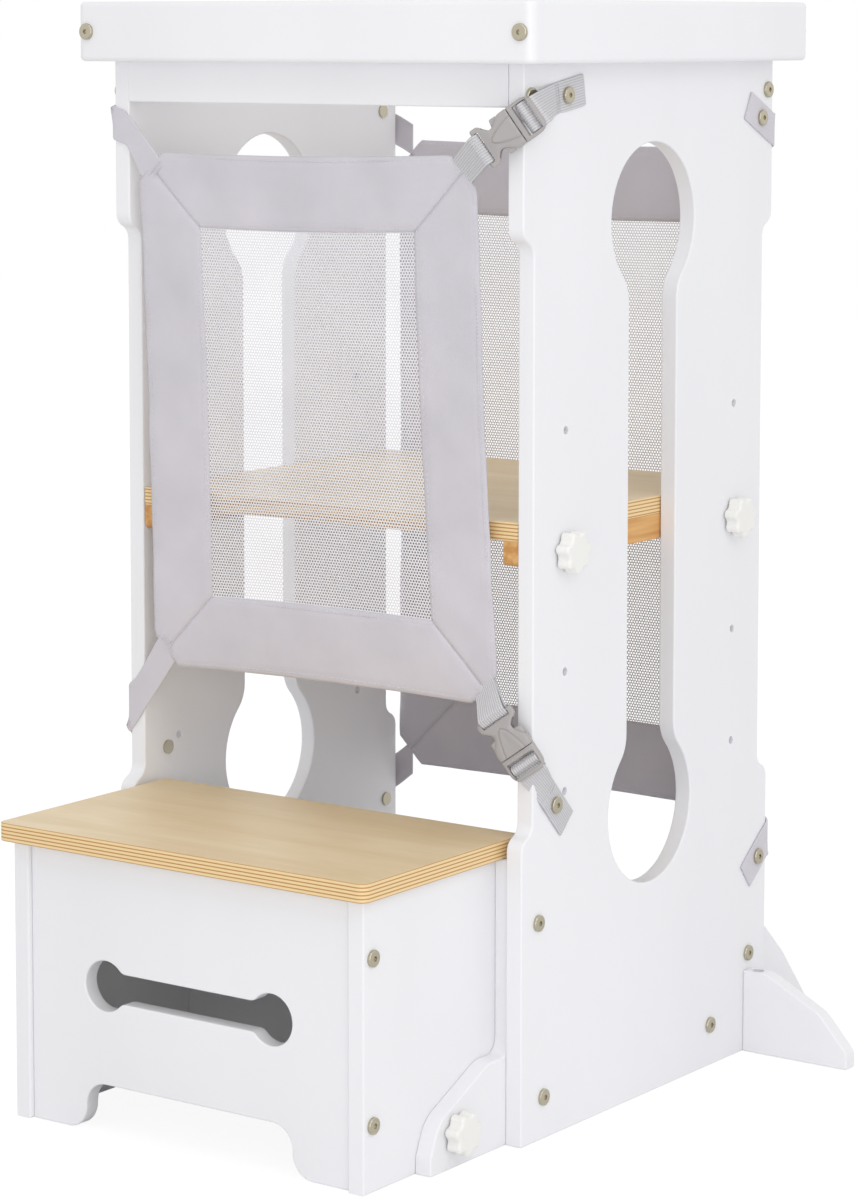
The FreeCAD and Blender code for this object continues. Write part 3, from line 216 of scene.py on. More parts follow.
def ribbedWebbing():
    # narrow polyester webbing with a rib every 2 mm: the grooves are shaded and the ribs catch light
    look = {"rib": "#D3D2D5", "groove": "#B9B8BC", "roughness": 0.66, "sheen": 0.2, "pitch": 2.08, "pick": 0.9,
            "pickShare": 0.25, "shade": 0.4, "strength": 0.5, "depth": 0.3}  # lengths in mm
    material, tree, shader = newMaterial("ribbedWebbing", look["rib"], look["roughness"],
                                         Sheen_Weight=look["sheen"])
    laid = addNode(tree, "ShaderNodeUVMap", {"uv_map": "weave"})
    split = addNode(tree, "ShaderNodeSeparateXYZ", links={"Vector": laid.outputs["UV"]})
    waves = []
    for axis, size in (("X", look["pitch"]), ("Y", look["pick"])):
        run = addNode(tree, "ShaderNodeMath", {"operation": "MULTIPLY"}, {0: split.outputs[axis]},
                      {1: 2 * math.pi / (size * mm)})
        waves.append(addNode(tree, "ShaderNodeMath", {"operation": "COSINE"}, {0: run.outputs["Value"]}))
    picks = addNode(tree, "ShaderNodeMath", {"operation": "MULTIPLY"}, {0: waves[1].outputs["Value"]},
                    {1: look["pickShare"]})
    height = addNode(tree, "ShaderNodeMath", {"operation": "SUBTRACT"},
                     {0: picks.outputs["Value"], 1: waves[0].outputs["Value"]})
    shade = addNode(tree, "ShaderNodeMath", {"operation": "MULTIPLY_ADD"}, {0: height.outputs["Value"]},
                    {1: look["shade"], 2: 0.5})
    addNode(tree, "ShaderNodeValToRGB", links={"Fac": shade.outputs["Value"]},
            stops=[(0.05, look["groove"]), (0.6, look["rib"])], feeds={"Color": shader.inputs["Base Color"]})
    addNode(tree, "ShaderNodeBump", links={"Height": height.outputs["Value"]},
            values={"Strength": look["strength"], "Distance": look["depth"] * mm},
            feeds={"Normal": shader.inputs["Normal"]})
    return material


finishes = {
    "white_paint": satinLacquer(),
    "plywood": birchPlywood(),
    "pine": sawnPine(),
    "nickel": nickelledSteel(),
    "knob": mouldedPlastic("nylonKnob", "#F0EFEB", 0.4, 1.2),
    "buckle": mouldedPlastic("acetalBuckle", "#AAA6A5", 0.36, 1.0),
    "fabric": woven("oxfordPolyester", "#D3CFD6", "#CAC7CE", 0.7, 0.3),
    "mesh": woven("warpKnitMesh", "#EBEAEE", "#E4E3E8", 0.5, 0.1, 0.1),
    "webbing": ribbedWebbing(),
    "thread": woven("sewingThread", "#DAD8DC", "#CCC9CE", 0.3, 0.2),
}
slotOf = {item["node"]: item["material_slot"] for item in frame["record"]["subparts"]}
for name, item in nodes.items():
    item.data.materials.clear()
    item.data.materials.append(finishes[slotOf[name]])
print("materials made")


def newPiece(name, points, faces, slotName, body, replaced=(), smooth=True, finish=None):
    mesh = bpy.data.meshes.new(name)
    mesh.from_pydata([tuple(point) for point in points], [], faces)
    mesh.polygons.foreach_set("use_smooth", [smooth] * len(mesh.polygons))
    mesh.materials.append(finish or finishes[slotName])
    piece = bpy.data.objects.new(name, mesh)
    bpy.context.scene.collection.objects.link(piece)
    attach(piece, body)
    if replaced:
        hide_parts(*replaced)
    return piece


def lerp(a, b, t):
    return a + (b - a) * t


# all in mm; y is counted from the front face of the top frame
tower = {"frontFace": 172.5, "inner": 190.5, "outer": 205.5, "panelFront": 22.0, "panelWaist": 37.0,
         "panelBack": 398.0}
cloth = {"puff": 1.15, "edge": 0.45, "least": 0.15, "shoulder": 8.0, "hem": 4.0, "hemDip": 0.65, "mitre": 1.9,
         "mitreDip": 0.9, "stitch": 3.6, "thread": 0.5, "cut": 26.0, "steps": 72, "across": 26}
folds = {"wave": 1.7, "calm": 0.3, "leastPull": 0.35, "run": 42.0, "across": 95.0, "fine": 0.22,
         "fineSize": (13.0, 15.0), "fineSeed": 9, "pucker": 0.2, "puckerTurn": 0.55, "puckerWide": 5.0}
bead = {"steps": ((0.0, 0.15), (0.25, 0.9), (0.75, 0.9), (1.0, 0.15)), "flank": 0.6, "sunk": 0.3,
        "from": 0.12, "to": 0.84}
knit = {"cell": 2.7, "hole": 0.62, "rowPitch": 0.866, "tuck": 6.0, "pastSide": 0.013, "pastEnd": 0.01,
        "sway": 0.7}
innerBow, innerPull = 0.6, 0.8  # how far the window follows the outer edge's bow and its corners
# corners: how far the straps pull each outer corner, right and up, from the low left one round to the top left
frontNet = {"half": 172.0, "border": 63.0, "low": 347.5, "top": 785.0, "lowSet": 34.3, "topSet": 20.9,
            "bow": 3.0, "corners": [(-4, -2), (3, 0), (-10, -4), (-8, -8)], "seed": 3.1}
rearNet = {"half": 188.0, "border": 66.0, "low": 200.0, "top": 777.0, "lowSet": 399.8, "topSet": 399.8,
           "bow": 2.0, "corners": [(0, 0), (0, 0), (0, 0), (0, 0)], "seed": 11.7}


def hangNet(size):
    size["long"] = math.hypot(size["lowSet"] - size["topSet"], size["top"] - size["low"])
    lean = math.atan2(size["lowSet"] - size["topSet"], size["top"] - size["low"])
    origin = Vector((0, size["lowSet"] - tower["frontFace"], size["low"])) * mm
    size["place"] = Matrix.Translation(origin) @ Matrix.Rotation(lean, 4, "X")
    half, long, border = size["half"], size["long"], size["border"]
    size["outer"] = [Vector((-half, 0)), Vector((half, 0)), Vector((half, long)), Vector((-half, long))]
    size["inner"] = [Vector((border - half, border)), Vector((half - border, border)),
                     Vector((half - border, long - border)), Vector((border - half, long - border))]
    for i, offset in enumerate(size["corners"]):
        size["outer"][i] += Vector(offset)
        size["inner"][i] += Vector(offset) * innerPull
    size["middle"] = Vector((0, long / 2))


def bowed(size, a, b, s, depth):
    point = lerp(a, b, s)
    inward = (size["middle"] - (a + b) / 2).normalized()
    return point + inward * depth * math.sin(math.pi * s)


def ripple(size, x, z):
    # soft folds drawn in from the corner pulls, and a fine unevenness over them
    corner = math.hypot(max(0, abs(x) - size["half"] * folds["calm"]),
                        max(0, abs(z - size["long"] / 2) - size["long"] * folds["calm"]))
    pull = folds["leastPull"] + corner / size["half"]
    fold = noise.noise(Vector(((x + z) / folds["run"], (x - z) / folds["across"], size["seed"])))
    fineX, fineZ = folds["fineSize"]
    fine = noise.noise(Vector((x / fineX, z / fineZ, size["seed"] + folds["fineSeed"])))
    return folds["wave"] * pull * fold + folds["fine"] * fine


def dip(distance, width):
    return math.exp(-(distance / width) ** 2)


def clipShare(size, corner, out, inn):
    # how far along the strip's width the corner's diagonal cut takes off
    diagonal = Vector((1 if size["outer"][corner].x < 0 else -1, 1 if corner < 2 else -1)).normalized()
    near = (out - size["outer"][corner]).dot(diagonal) - cloth["cut"] / math.sqrt(2)
    far = (inn - size["outer"][corner]).dot(diagonal) - cloth["cut"] / math.sqrt(2)
    return near / (near - far) if near < 0 < far else 0.0


def borderStrip(size, k):
    # one side of the doubled border, mitred at both ends: rows of (flat place, lift, half thickness)
    a, b = size["outer"][k], size["outer"][(k + 1) % 4]
    c, d = size["inner"][k], size["inner"][(k + 1) % 4]
    rows = []
    for i in range(cloth["steps"] + 1):
        s = i / cloth["steps"]
        out = bowed(size, a, b, s, size["bow"])
        inn = bowed(size, c, d, s, size["bow"] * innerBow)
        start = max(clipShare(size, k, out, inn), clipShare(size, (k + 1) % 4, out, inn))
        row = []
        for j in range(cloth["across"] + 1):
            t = j / cloth["across"]
            at = lerp(out, inn, lerp(start, 1, t))
            fromEdge = min(t, 1 - t) * (inn - out).length * (1 - start)
            fromMitre = min(s * (b - a).length, (1 - s) * (b - a).length) * 0.7
            thick = cloth["edge"] + cloth["puff"] * min(1.0, fromEdge / cloth["shoulder"]) ** 0.6
            thick -= cloth["hemDip"] * dip(fromEdge - cloth["hem"], 1.0)
            thick -= cloth["mitreDip"] * dip(fromMitre, cloth["mitre"])
            pucker = folds["pucker"] * math.sin(s * (b - a).length * folds["puckerTurn"])
            pucker *= dip(fromEdge - cloth["hem"], folds["puckerWide"])
            row.append((at, ripple(size, at.x, at.y), max(cloth["least"], thick + pucker)))
        rows.append(row)
    return rows


def netPoint(size, at, lift):
    return size["place"] @ (Vector((at.x, lift, at.y)) * mm)


def sewBorder(name, size, body, replaced):
    points = []
    faces = []
    wide = cloth["across"] + 1
    for k in range(4):
        rows = borderStrip(size, k)
        front = len(points)
        back = front + len(rows) * wide
        for side in (-1, 1):
            points += [netPoint(size, at, lift + side * thick) for row in rows for at, lift, thick in row]
        for i in range(cloth["steps"]):
            for j in range(cloth["across"]):
                a = front + i * wide + j
                faces.append((a, a + 1, a + wide + 1, a + wide))
                a = back + i * wide + j
                faces.append((a, a + wide, a + wide + 1, a + 1))
            for j in (0, cloth["across"]):
                a, b = front + i * wide + j, back + i * wide + j
                faces.append((a, a + wide, b + wide, b) if j == 0 else (a + wide, a, b, b + wide))
        for j in range(cloth["across"]):
            for i in (0, cloth["steps"]):
                a, b = front + i * wide + j, back + i * wide + j
                faces.append((a + 1, a, b, b + 1) if i == 0 else (a, a + 1, b + 1, b))
    return newPiece(name, points, faces, "fabric", body, replaced)


def addStitch(points, faces, place, start, end, half):
    # one stitch on the cloth, a short bead low at both ends; start and end are (flat place, height, side)
    (p, low, side), (q, high, _) = start, end
    run = (q - p).normalized()
    wide = Vector((-run.y, run.x)) * half
    base = len(points)
    for t, swell in bead["steps"]:
        at = lerp(p, q, t)
        level = lerp(low, high, t)
        crown, foot = level + side * swell * half, level - side * bead["sunk"] * half
        for v, y in ((-1, foot), (-bead["flank"], crown), (bead["flank"], crown), (1, foot)):
            points.append(place @ (Vector((at.x + wide.x * v, y, at.y + wide.y * v)) * mm))
    for i in range(len(bead["steps"]) - 1):
        for v in range(3):
            a = base + i * 4 + v
            faces.append((a, a + 1, a + 5, a + 4) if side < 0 else (a, a + 4, a + 5, a + 1))


def sewThread(name, size, body):
    points = []
    faces = []
    for k in range(4):
        rows = borderStrip(size, k)
        for first, last in ((0, -1), (-1, 0)):
            run = []
            for row in rows:
                inward = (row[last][0] - row[first][0]).normalized()
                at = row[first][0] + inward * cloth["hem"]
                nearest = min(row, key=lambda item: (item[0] - at).length)
                run.append((at, nearest[1], nearest[2]))
            for (p, liftP, thickP), (q, liftQ, thickQ) in zip(run, run[1:]):
                count = round((q - p).length / cloth["stitch"])
                for n in range(count):
                    s, e = (n + bead["from"]) / count, (n + bead["to"]) / count
                    for side in (-1, 1):
                        low = lerp(liftP, liftQ, s) + side * lerp(thickP, thickQ, s)
                        high = lerp(liftP, liftQ, e) + side * lerp(thickP, thickQ, e)
                        addStitch(points, faces, size["place"], (lerp(p, q, s), low, side),
                                  (lerp(p, q, e), high, side), cloth["thread"])
    return newPiece(name, points, faces, "fabric", body, finish=finishes["thread"])


def knitMesh(name, size, body, replaced):
    # warp-knit mesh: six-sided holes, a little coarser than the real ones so that they show
    low, right, top, left = size["inner"]
    wide, tall = (right - low).length + knit["tuck"], (left - low).length + knit["tuck"]
    columns, rows = round(wide / knit["cell"]), round(tall / knit["cell"] / knit["rowPitch"])
    points = []
    faces = []
    known = {}

    def corner(u, v):
        key = (round(u * 20000), round(v * 20000))
        if key not in known:
            known[key] = len(points)
            across = lerp(-knit["pastSide"], 1 + knit["pastSide"], min(1, max(0, u)))
            up = lerp(-knit["pastEnd"], 1 + knit["pastEnd"], min(1, max(0, v)))
            bottom = bowed(size, low, right, across, size["bow"] * innerBow)
            above = bowed(size, left, top, across, size["bow"] * innerBow)
            at = lerp(bottom, above, up)
            points.append(netPoint(size, at, ripple(size, at.x, at.y) * knit["sway"]))
        return known[key]

    ring = [(0.5, 1 / 3), (0, 2 / 3), (-0.5, 1 / 3), (-0.5, -1 / 3), (0, -2 / 3), (0.5, -1 / 3)]
    for row in range(rows + 1):
        for column in range(columns + 1):
            u, v = (column + row % 2 / 2) / columns, row / rows
            if u > 1:
                continue
            outside = [corner(u + x / columns, v + z / rows) for x, z in ring]
            hole = [corner(u + x * knit["hole"] / columns, v + z * knit["hole"] / rows) for x, z in ring]
            faces += [(outside[i], outside[(i + 1) % 6], hole[(i + 1) % 6], hole[i]) for i in range(6)]
    mesh = newPiece(name, points, faces, "mesh", body, replaced, smooth=False)


for size, name, node, body, strap in (
        (frontNet, "frontNet", "front_net", "front_net", "frontStrapTop"),
        (rearNet, "rearNet", "rear_net", "tower", "rearStrapTopLeft")):
    hangNet(size)
    border = sewBorder(name + "Border", size, body, (node + "_border",))
    thread = sewThread(name + "Stitching", size, body)
    knitMesh(name + "Mesh", size, body, (node + "_mesh",))
print("nets sewn")


webbing = {"wide": 25.0, "thick": 1.5, "gap": 0.3, "ribs": 12, "rib": 0.62, "past": 24.0, "columns": 49,
           "step": 1.6, "selvage": 0.35, "selvageTurn": 13.0, "foldPinch": 0.8, "foldEase": 0.4,
           "foldReach": 6.0}
boxStitch = {"count": 9, "gap": 0.14, "swollen": 0.3, "tip": 0.4, "half": 0.42, "above": 0.15, "margin": 0.94,
             "turns": 6}
frontSlope = {"top": 0.45, "low": -1.2}
rearSlope = {"top": -0.5, "low": 0.78}
strapBolts = {"frontTop": (80.0, 826.5), "frontLow": (67.0, 267.6), "rearTop": (377.0, 803.0),
              "rearLow": (381.4, 167.6)}
lie = webbing["gap"] + webbing["thick"] / 2
halfWide = webbing["wide"] / 2 * mm
halfThick = webbing["thick"] / 2 * mm


def fromFront(x, y, z):
    return Vector((x, y - tower["frontFace"], z)) * mm


def smoothRun(stations):
    # a rounded line through the stations; each is (middle, half width, half thickness)
    run = []
    last = len(stations) - 1
    for i in range(last):
        four = [stations[max(0, min(last, i + k))] for k in (-1, 0, 1, 2)]
        parts = max(2, round((four[2][0] - four[1][0]).length / (webbing["step"] * mm)))
        for n in range(parts + (i == last - 1)):
            t = n / parts
            pull = (-0.5 * t + t * t - 0.5 * t ** 3, 1 - 2.5 * t * t + 1.5 * t ** 3,
                    0.5 * t + 2 * t * t - 1.5 * t ** 3, -0.5 * t * t + 0.5 * t ** 3)
            run.append([sum((station[item] * share for station, share in zip(four, pull)), Vector())
                        for item in range(3)])
    return run


def weaveStrap(name, stations, body, replaced=(), ribbed=True, finish=None):
    points = []
    faces = []
    cloths = []
    run = smoothRun(stations)
    columns = webbing["columns"]
    for n, (middle, across, thick) in enumerate(run):
        for side in (1, -1):
            for j in range(columns):
                v = side * (1 - 2 * j / (columns - 1))
                cloths.append(((v + 1) / 2 * webbing["wide"] * mm, n * webbing["step"] * mm))
                rim = min(1.0, webbing["selvage"] + (1 - abs(v)) * webbing["selvageTurn"])
                wave = abs(math.sin(math.pi * webbing["ribs"] * (v + 1) / 2))
                rib = webbing["rib"] * wave if ribbed else webbing["selvage"]
                points.append(middle + across * v + thick * side * (rim - webbing["selvage"] + rib))
    ring = columns * 2
    for i in range(len(run) - 1):
        for j in range(ring):
            a, b = i * ring + j, i * ring + (j + 1) % ring
            faces.append((a, b, b + ring, a + ring))
    faces.append(tuple(reversed(range(ring))))
    faces.append(tuple(range((len(run) - 1) * ring, len(run) * ring)))
    strap = newPiece(name, points, faces, "webbing", body, replaced, finish=finish)
    layer = strap.data.uv_layers.new(name="weave")
    for loop in strap.data.loops:
        layer.data[loop.index].uv = cloths[loop.vertex_index]
    return strap


def sewAcross(name, rows, body):
    # box of stitches across a strap: rows of (middle, half width, outward)
    points = []
    faces = []
    count, turns = boxStitch["count"], boxStitch["turns"]
    gap, swollen, tip = boxStitch["gap"], boxStitch["swollen"], boxStitch["tip"]
    profile = ((gap, tip), (swollen, 1), (1 - swollen, 1), (1 - gap, tip))
    for middle, across, out in rows:
        out = out.normalized()
        forward = across.cross(out).normalized()
        for n in range(count):
            base = len(points)
            for part, swell in profile:
                at = middle + across * (1 - 2 * (n + part) / count) * boxStitch["margin"]
                for turn in range(turns):
                    angle = turn * 2 * math.pi / turns
                    above = out * (boxStitch["above"] + swell * math.cos(angle))
                    points.append(at + (above + forward * swell * math.sin(angle)) * boxStitch["half"] * mm)
            for i in range(len(profile) - 1):
                for turn in range(turns):
                    a, b = base + i * turns + turn, base + i * turns + (turn + 1) % turns
                    faces.append((a, b, b + turns, a + turns))
            faces.append(tuple(base + turn for turn in reversed(range(turns))))
            faces.append(tuple(base + (len(profile) - 1) * turns + turn for turn in range(turns)))
    return newPiece(name, points, faces, "webbing", body, finish=finishes["thread"])


def onPanel(side, at, direction):
    # flat on a side panel's outer face, at (y, z), running along direction
    along = Vector((0, direction[0], direction[1])).normalized()
    across = Vector((0, -along.z, along.y))
    if across.z < 0:
        across = -across
    return [fromFront(side * (tower["outer"] + lie), at[0], at[1]), across * halfWide,
            Vector((side * halfThick, 0, 0))]


def moved(at, direction, distance):
    length = math.hypot(*direction)
    return (at[0] + direction[0] / length * distance, at[1] + direction[1] / length * distance)


def cutCorner(size, left, top, off):
    # the middle of the net's cut corner, moved off mm outwards, and the direction along the cut
    k = (3 if left else 2) if top else (0 if left else 1)
    outward = Vector((-1 if left else 1, 1 if top else -1)) / math.sqrt(2)
    at = size["outer"][k] - outward * (cloth["cut"] / math.sqrt(2) - off)
    along = Vector((-outward.y * (1 if outward.x > 0 else -1), 0, abs(outward.x)))
    basis = size["place"].to_3x3()
    return (netPoint(size, at, ripple(size, at.x, at.y) * 0.5), basis @ along.normalized(),
            basis @ Vector((outward.x, 0, outward.y)))


def foldHeight(slope):
    # a strap that runs at a slope is taller where it folds round an upright edge
    return Vector((0, 0, halfWide * math.sqrt(1 + slope * slope)))


def frontLeftStrap(name, key, top, edgeAt, replaced):
    at = strapBolts[key]
    slope = frontSlope["top" if top else "low"]
    fold = at[1] - slope * (at[0] - edgeAt)
    middle, along, outward = cutCorner(frontNet, True, top, 0.5)
    upright = foldHeight(slope)
    front, reach = edgeAt - lie, webbing["foldReach"]
    inward = tower["outer"] - tower["inner"] + 1
    ease = webbing["foldEase"]
    corner = Vector((-halfThick, -halfThick, 0)) * webbing["foldPinch"]
    flat = Vector((0, -halfThick, 0))
    stations = [
        onPanel(-1, moved(at, (1, slope), webbing["past"]), (1, slope)),
        onPanel(-1, at, (1, slope)),
        onPanel(-1, (edgeAt + reach, fold + reach * slope), (1, slope)),
        [fromFront(ease - tower["outer"] - lie, front + ease, fold), upright, corner],
        [fromFront(reach - tower["outer"], front, fold - slope * reach), upright, flat],
        [fromFront(-tower["inner"], front, fold - slope * inward), upright, flat],
        [middle, along * halfWide, flat],
        [middle - outward * 10 * mm, along * halfWide * 0.96, flat],
    ]
    weaveStrap(name, stations, "tower", replaced, False, finishes["fabric"])
    onCloth = Vector((0, -0.0016, 0))
    rows = [(middle - outward * inside * mm + onCloth, along * halfWide * 0.94, Vector((0, -1, 0)))
            for inside in (5, 9)]
    sewAcross(name + "Stitching", rows, "front_net")


def rearStrap(name, key, side, slope, replaced):
    at = strapBolts[key]
    direction = (-1, -slope)
    fold = at[1] + slope * (tower["panelBack"] - at[0])
    wide, back = tower["outer"] + lie, tower["panelBack"] + lie
    behind = rearNet["lowSet"] + cloth["edge"] + cloth["puff"] + 1.2
    upright = foldHeight(slope)
    leave, reach, ease = wide - rearNet["half"] - 1, webbing["foldReach"], webbing["foldEase"]
    onNet = leave + 14
    corner = Vector((side * halfThick, halfThick, 0)) * webbing["foldPinch"]
    flat = Vector((0, halfThick, 0))
    stations = [
        onPanel(side, moved(at, direction, webbing["past"]), direction),
        onPanel(side, at, direction),
        onPanel(side, (tower["panelBack"] - reach, fold - slope * reach), direction),
        [fromFront(side * (wide - ease), back - ease, fold), upright, corner],
        [fromFront(side * (wide - reach), back, fold + slope * reach), upright, flat],
        [fromFront(side * (wide - leave), behind, fold + slope * leave), upright, flat],
        [fromFront(side * (wide - onNet), behind, fold + slope * onNet), upright, flat],
    ]
    weaveStrap(name, stations, "tower", replaced, False, finishes["fabric"])


frontLeftStrap("frontStrapTop", "frontTop", True, tower["panelFront"], ("front_straps_left",))
frontLeftStrap("frontStrapLow", "frontLow", False, tower["panelWaist"], ())
for sideName, side in (("Left", -1), ("Right", 1)):
    replaced = ("rear_straps",) if side < 0 else ()
    rearStrap("rearStrapTop" + sideName, "rearTop", side, rearSlope["top"], replaced)
    rearStrap("rearStrapLow" + sideName, "rearLow", side, rearSlope["low"], ())
print("straps folded round the panels")


# a frame at each buckle's mouth: X from the net to the tab, Z out of its face; sizes in mm within it
buckles = {
    "Top": {"mouth": (0.2035, -0.1580, 0.8045), "turn": 20, "tilt": 35, "bolt": "frontTop", "tab": (1, 0.17),
            "node": "top"},
    "Low": {"mouth": (0.1959, -0.1430, 0.3149), "turn": 15, "tilt": -54, "bolt": "frontLow", "tab": (1, -1.05),
            "node": "low"},
}
socket = {"back": -34.0, "mouth": 0.0, "lug": 17.0, "waist": 9.2, "waistAt": -19.5, "full": 15.6, "thick": 4.5,
          "lugThick": 2.7, "lugEase": 1.1, "mouthEase": 0.5, "steps": 96, "slot": (-31.8, -28.2),
          "slotHalf": 13.0}
shield = {"tip": -22.0, "wide": 9.6, "rise": 0.7, "dish": 0.6, "groove": 0.75, "grooveWide": 0.55}
hollow = {"from": -25.5, "to": 1.5, "half": 13.8, "high": 2.5}
plug = {"start": 0.35, "end": 21.0, "half": 15.8, "thick": 3.3, "recess": (4.6, 17.8), "recessHalf": 13.1,
        "floor": 0.6, "barFrom": 9.3, "barTo": 13.3, "roundFrom": 9.0, "narrow": 0.42, "steps": 60}
tongue = {"from": -16.0, "to": 1.6, "half": 2.9, "high": 1.9, "tipHalf": 2.3, "tipHigh": 1.4, "steps": 14}
press = {"tip": -17.2, "root": 0.5, "outer": 10.8, "tabOuter": 15.5, "inner": 7.2, "high": 1.9, "tabHigh": 2.3,
         "tipOuter": 1.6, "tipInner": 0.6, "steps": 40}
through = 6.0  # cuts that go right through a moulded piece reach this far to each side
mouldRadius = 0.7


def buckleFrame(size):
    turn, tilt = math.radians(size["turn"]), math.radians(size["tilt"])
    out = Vector((math.sin(turn), -math.cos(turn), 0))
    along = Vector((math.cos(turn) * math.cos(tilt), math.sin(turn) * math.cos(tilt), math.sin(tilt)))
    side = out.cross(along)
    basis = Matrix((along, side, out)).transposed().to_4x4()
    return Matrix.Translation(Vector(size["mouth"])) @ basis


def smoothStep(low, high, x):
    t = min(1.0, max(0.0, (x - low) / (high - low)))
    return t * t * (3 - 2 * t)


def mould(name, frameAt, sections, slotName, body, replaced=(), dress=None, squareness=4.5, around=176):
    # a form through rounded sections (u, middle v, half width, half height); dress moves its surface
    points = []
    faces = []
    for u, middle, half, high in sections:
        for n in range(around):
            angle = 2 * math.pi * n / around
            c, s = math.cos(angle), math.sin(angle)
            radius = (abs(c) ** squareness + abs(s) ** squareness) ** (-1 / squareness)
            v, w = middle + half * radius * c, high * radius * s
            if dress:
                w += dress(u, v, w)
            points.append(frameAt @ (Vector((u, v, w)) * mm))
    for i in range(len(sections) - 1):
        for n in range(around):
            a, b = i * around + n, i * around + (n + 1) % around
            faces.append((a, b, b + around, a + around))
    faces.append(tuple(reversed(range(around))))
    faces.append(tuple(range((len(sections) - 1) * around, len(sections) * around)))
    return newPiece(name, points, faces, slotName, body, replaced)


def cutBlocks(piece, frameAt, blocks):
    # blocks are (u from, u to, v from, v to, w from, w to); rounded a little, so the cut edges aren't sharp
    for low, high, left, right, under, over in blocks:
        mesh = bpy.data.meshes.new("block")
        form = bmesh.new()
        bmesh.ops.create_cube(form, size=1)
        for vertex in form.verts:
            vertex.co = Vector((lerp(low, high, vertex.co.x + 0.5), lerp(left, right, vertex.co.y + 0.5),
                                lerp(under, over, vertex.co.z + 0.5))) * mm
        bmesh.ops.bevel(form, geom=form.edges[:], offset=mouldRadius * mm, segments=3, affect="EDGES",
                        profile=0.5)
        bmesh.ops.recalc_face_normals(form, faces=form.faces[:])
        form.transform(frameAt)
        form.to_mesh(mesh)
        form.free()
        cutter = bpy.data.objects.new("block", mesh)
        bpy.context.scene.collection.objects.link(cutter)
        cut = piece.modifiers.new("cut", "BOOLEAN")
        cut.operation = "DIFFERENCE"
        cut.solver = "EXACT"
        cut.object = cutter
        bpy.context.view_layer.update()
        result = bpy.data.meshes.new_from_object(piece.evaluated_get(bpy.context.evaluated_depsgraph_get()))
        piece.modifiers.clear()
        piece.data = result
        bpy.data.objects.remove(cutter)


def socketHalf(u):
    lug = socket["lug"] - socket["lugEase"] * smoothStep(-33, -34.2, u)
    neck = lerp(lug, socket["waist"], smoothStep(-28.5, socket["waistAt"], u))
    return lerp(neck, socket["full"], smoothStep(socket["waistAt"] + 1, -6.5, u))


def socketDress(u, v, w):
    if w <= 0:
        return 0
    # the shield on its face: raised, dished along its middle, a fine groove round it, its round tip to the net
    reach = max(0.0, (u - shield["tip"]) / -shield["tip"])
    half = shield["wide"] * reach ** 0.5
    inside = half - abs(v) if reach > 0 else -math.hypot(u - shield["tip"], v)
    rise = shield["rise"] * smoothStep(0, 1.6, inside) * (1 - shield["dish"] * smoothStep(1.5, 8, inside))
    return (rise - shield["groove"] * dip(inside, shield["grooveWide"])) * smoothStep(0.5, 2.5, w)


def makeSocket(label, node, place):
    sections = []
    for i in range(socket["steps"] + 1):
        u = lerp(socket["back"], socket["mouth"], i / socket["steps"])
        ends = min(1.0, (u - socket["back"]) / 1.6 + 0.42)
        high = lerp(socket["lugThick"], socket["thick"], smoothStep(-29, -20, u)) * ends ** 0.5
        high *= 1 - 0.06 * smoothStep(-2.2, 0, u)
        sections.append((u, 0, socketHalf(u) - socket["mouthEase"] * smoothStep(-1.0, 0, u), high))
    body = mould("buckleSocket" + label, place, sections, "buckle", "front_net", ("buckle_socket_" + node,),
                 socketDress)
    low, high = socket["slot"]
    cutBlocks(body, place, [
        (low, high, -socket["slotHalf"], socket["slotHalf"], -through, through),
        (hollow["from"], hollow["to"], -hollow["half"], hollow["half"], -hollow["high"], hollow["high"])])


def makePlug(label, node, place):
    sections = []
    for i in range(plug["steps"] + 1):
        u = lerp(plug["start"], plug["end"], i / plug["steps"])
        rounding = max(0.0, (u - plug["roundFrom"]) / (plug["end"] - plug["roundFrom"] + 1.2))
        half = plug["half"] * (1 - rounding ** 3.4 * plug["narrow"])
        ends = min(1.0, (plug["end"] - u) / 2.2 + 0.35) ** 0.5 * min(1.0, (u - plug["start"]) / 0.8 + 0.75)
        sections.append((u, 0, half, plug["thick"] * ends))
    ring = mould("bucklePlug" + label, place, sections, "buckle", "tower", ("buckle_plug_" + node,), around=88)
    fromU, toU = plug["recess"]
    half = plug["recessHalf"]
    cutBlocks(ring, place, [
        (fromU, plug["barFrom"], -half, half, -through, through),
        (plug["barTo"], toU, -half, half, -through, through),
        (fromU, toU, -half, half, plug["floor"], through)])
    stem = [(tongue["from"], 0, tongue["tipHalf"], tongue["tipHigh"])]
    for i in range(1, tongue["steps"] + 1):
        u = lerp(tongue["from"], tongue["to"], i / tongue["steps"])
        stem.append((u, 0, tongue["half"], tongue["high"]))
    mould("buckleTongue" + label, place, stem, "buckle", "tower", around=32)


def makePress(label, node, place, which, side):
    # one prong of the plug, with the tab that is pressed at its tip
    sections = []
    for i in range(press["steps"] + 1):
        u = lerp(press["tip"], press["root"], i / press["steps"])
        tab = smoothStep(press["tip"], -15.6, u) * (1 - smoothStep(-10.4, -8.2, u))
        end = smoothStep(-16.2, -17.4, u)
        outer = lerp(press["outer"], press["tabOuter"], tab) - press["tipOuter"] * end
        inner = press["inner"] + press["tipInner"] * end
        high = lerp(press["high"], press["tabHigh"], tab)
        sections.append((u, side * (outer + inner) / 2, (outer - inner) / 2, high))
    mould("bucklePress%s%s" % (label, which), place, sections, "buckle", "prong_%s_%s" % (node, which),
          ("buckle_prong_%s_%s" % (node, which),), around=36, squareness=3.2)


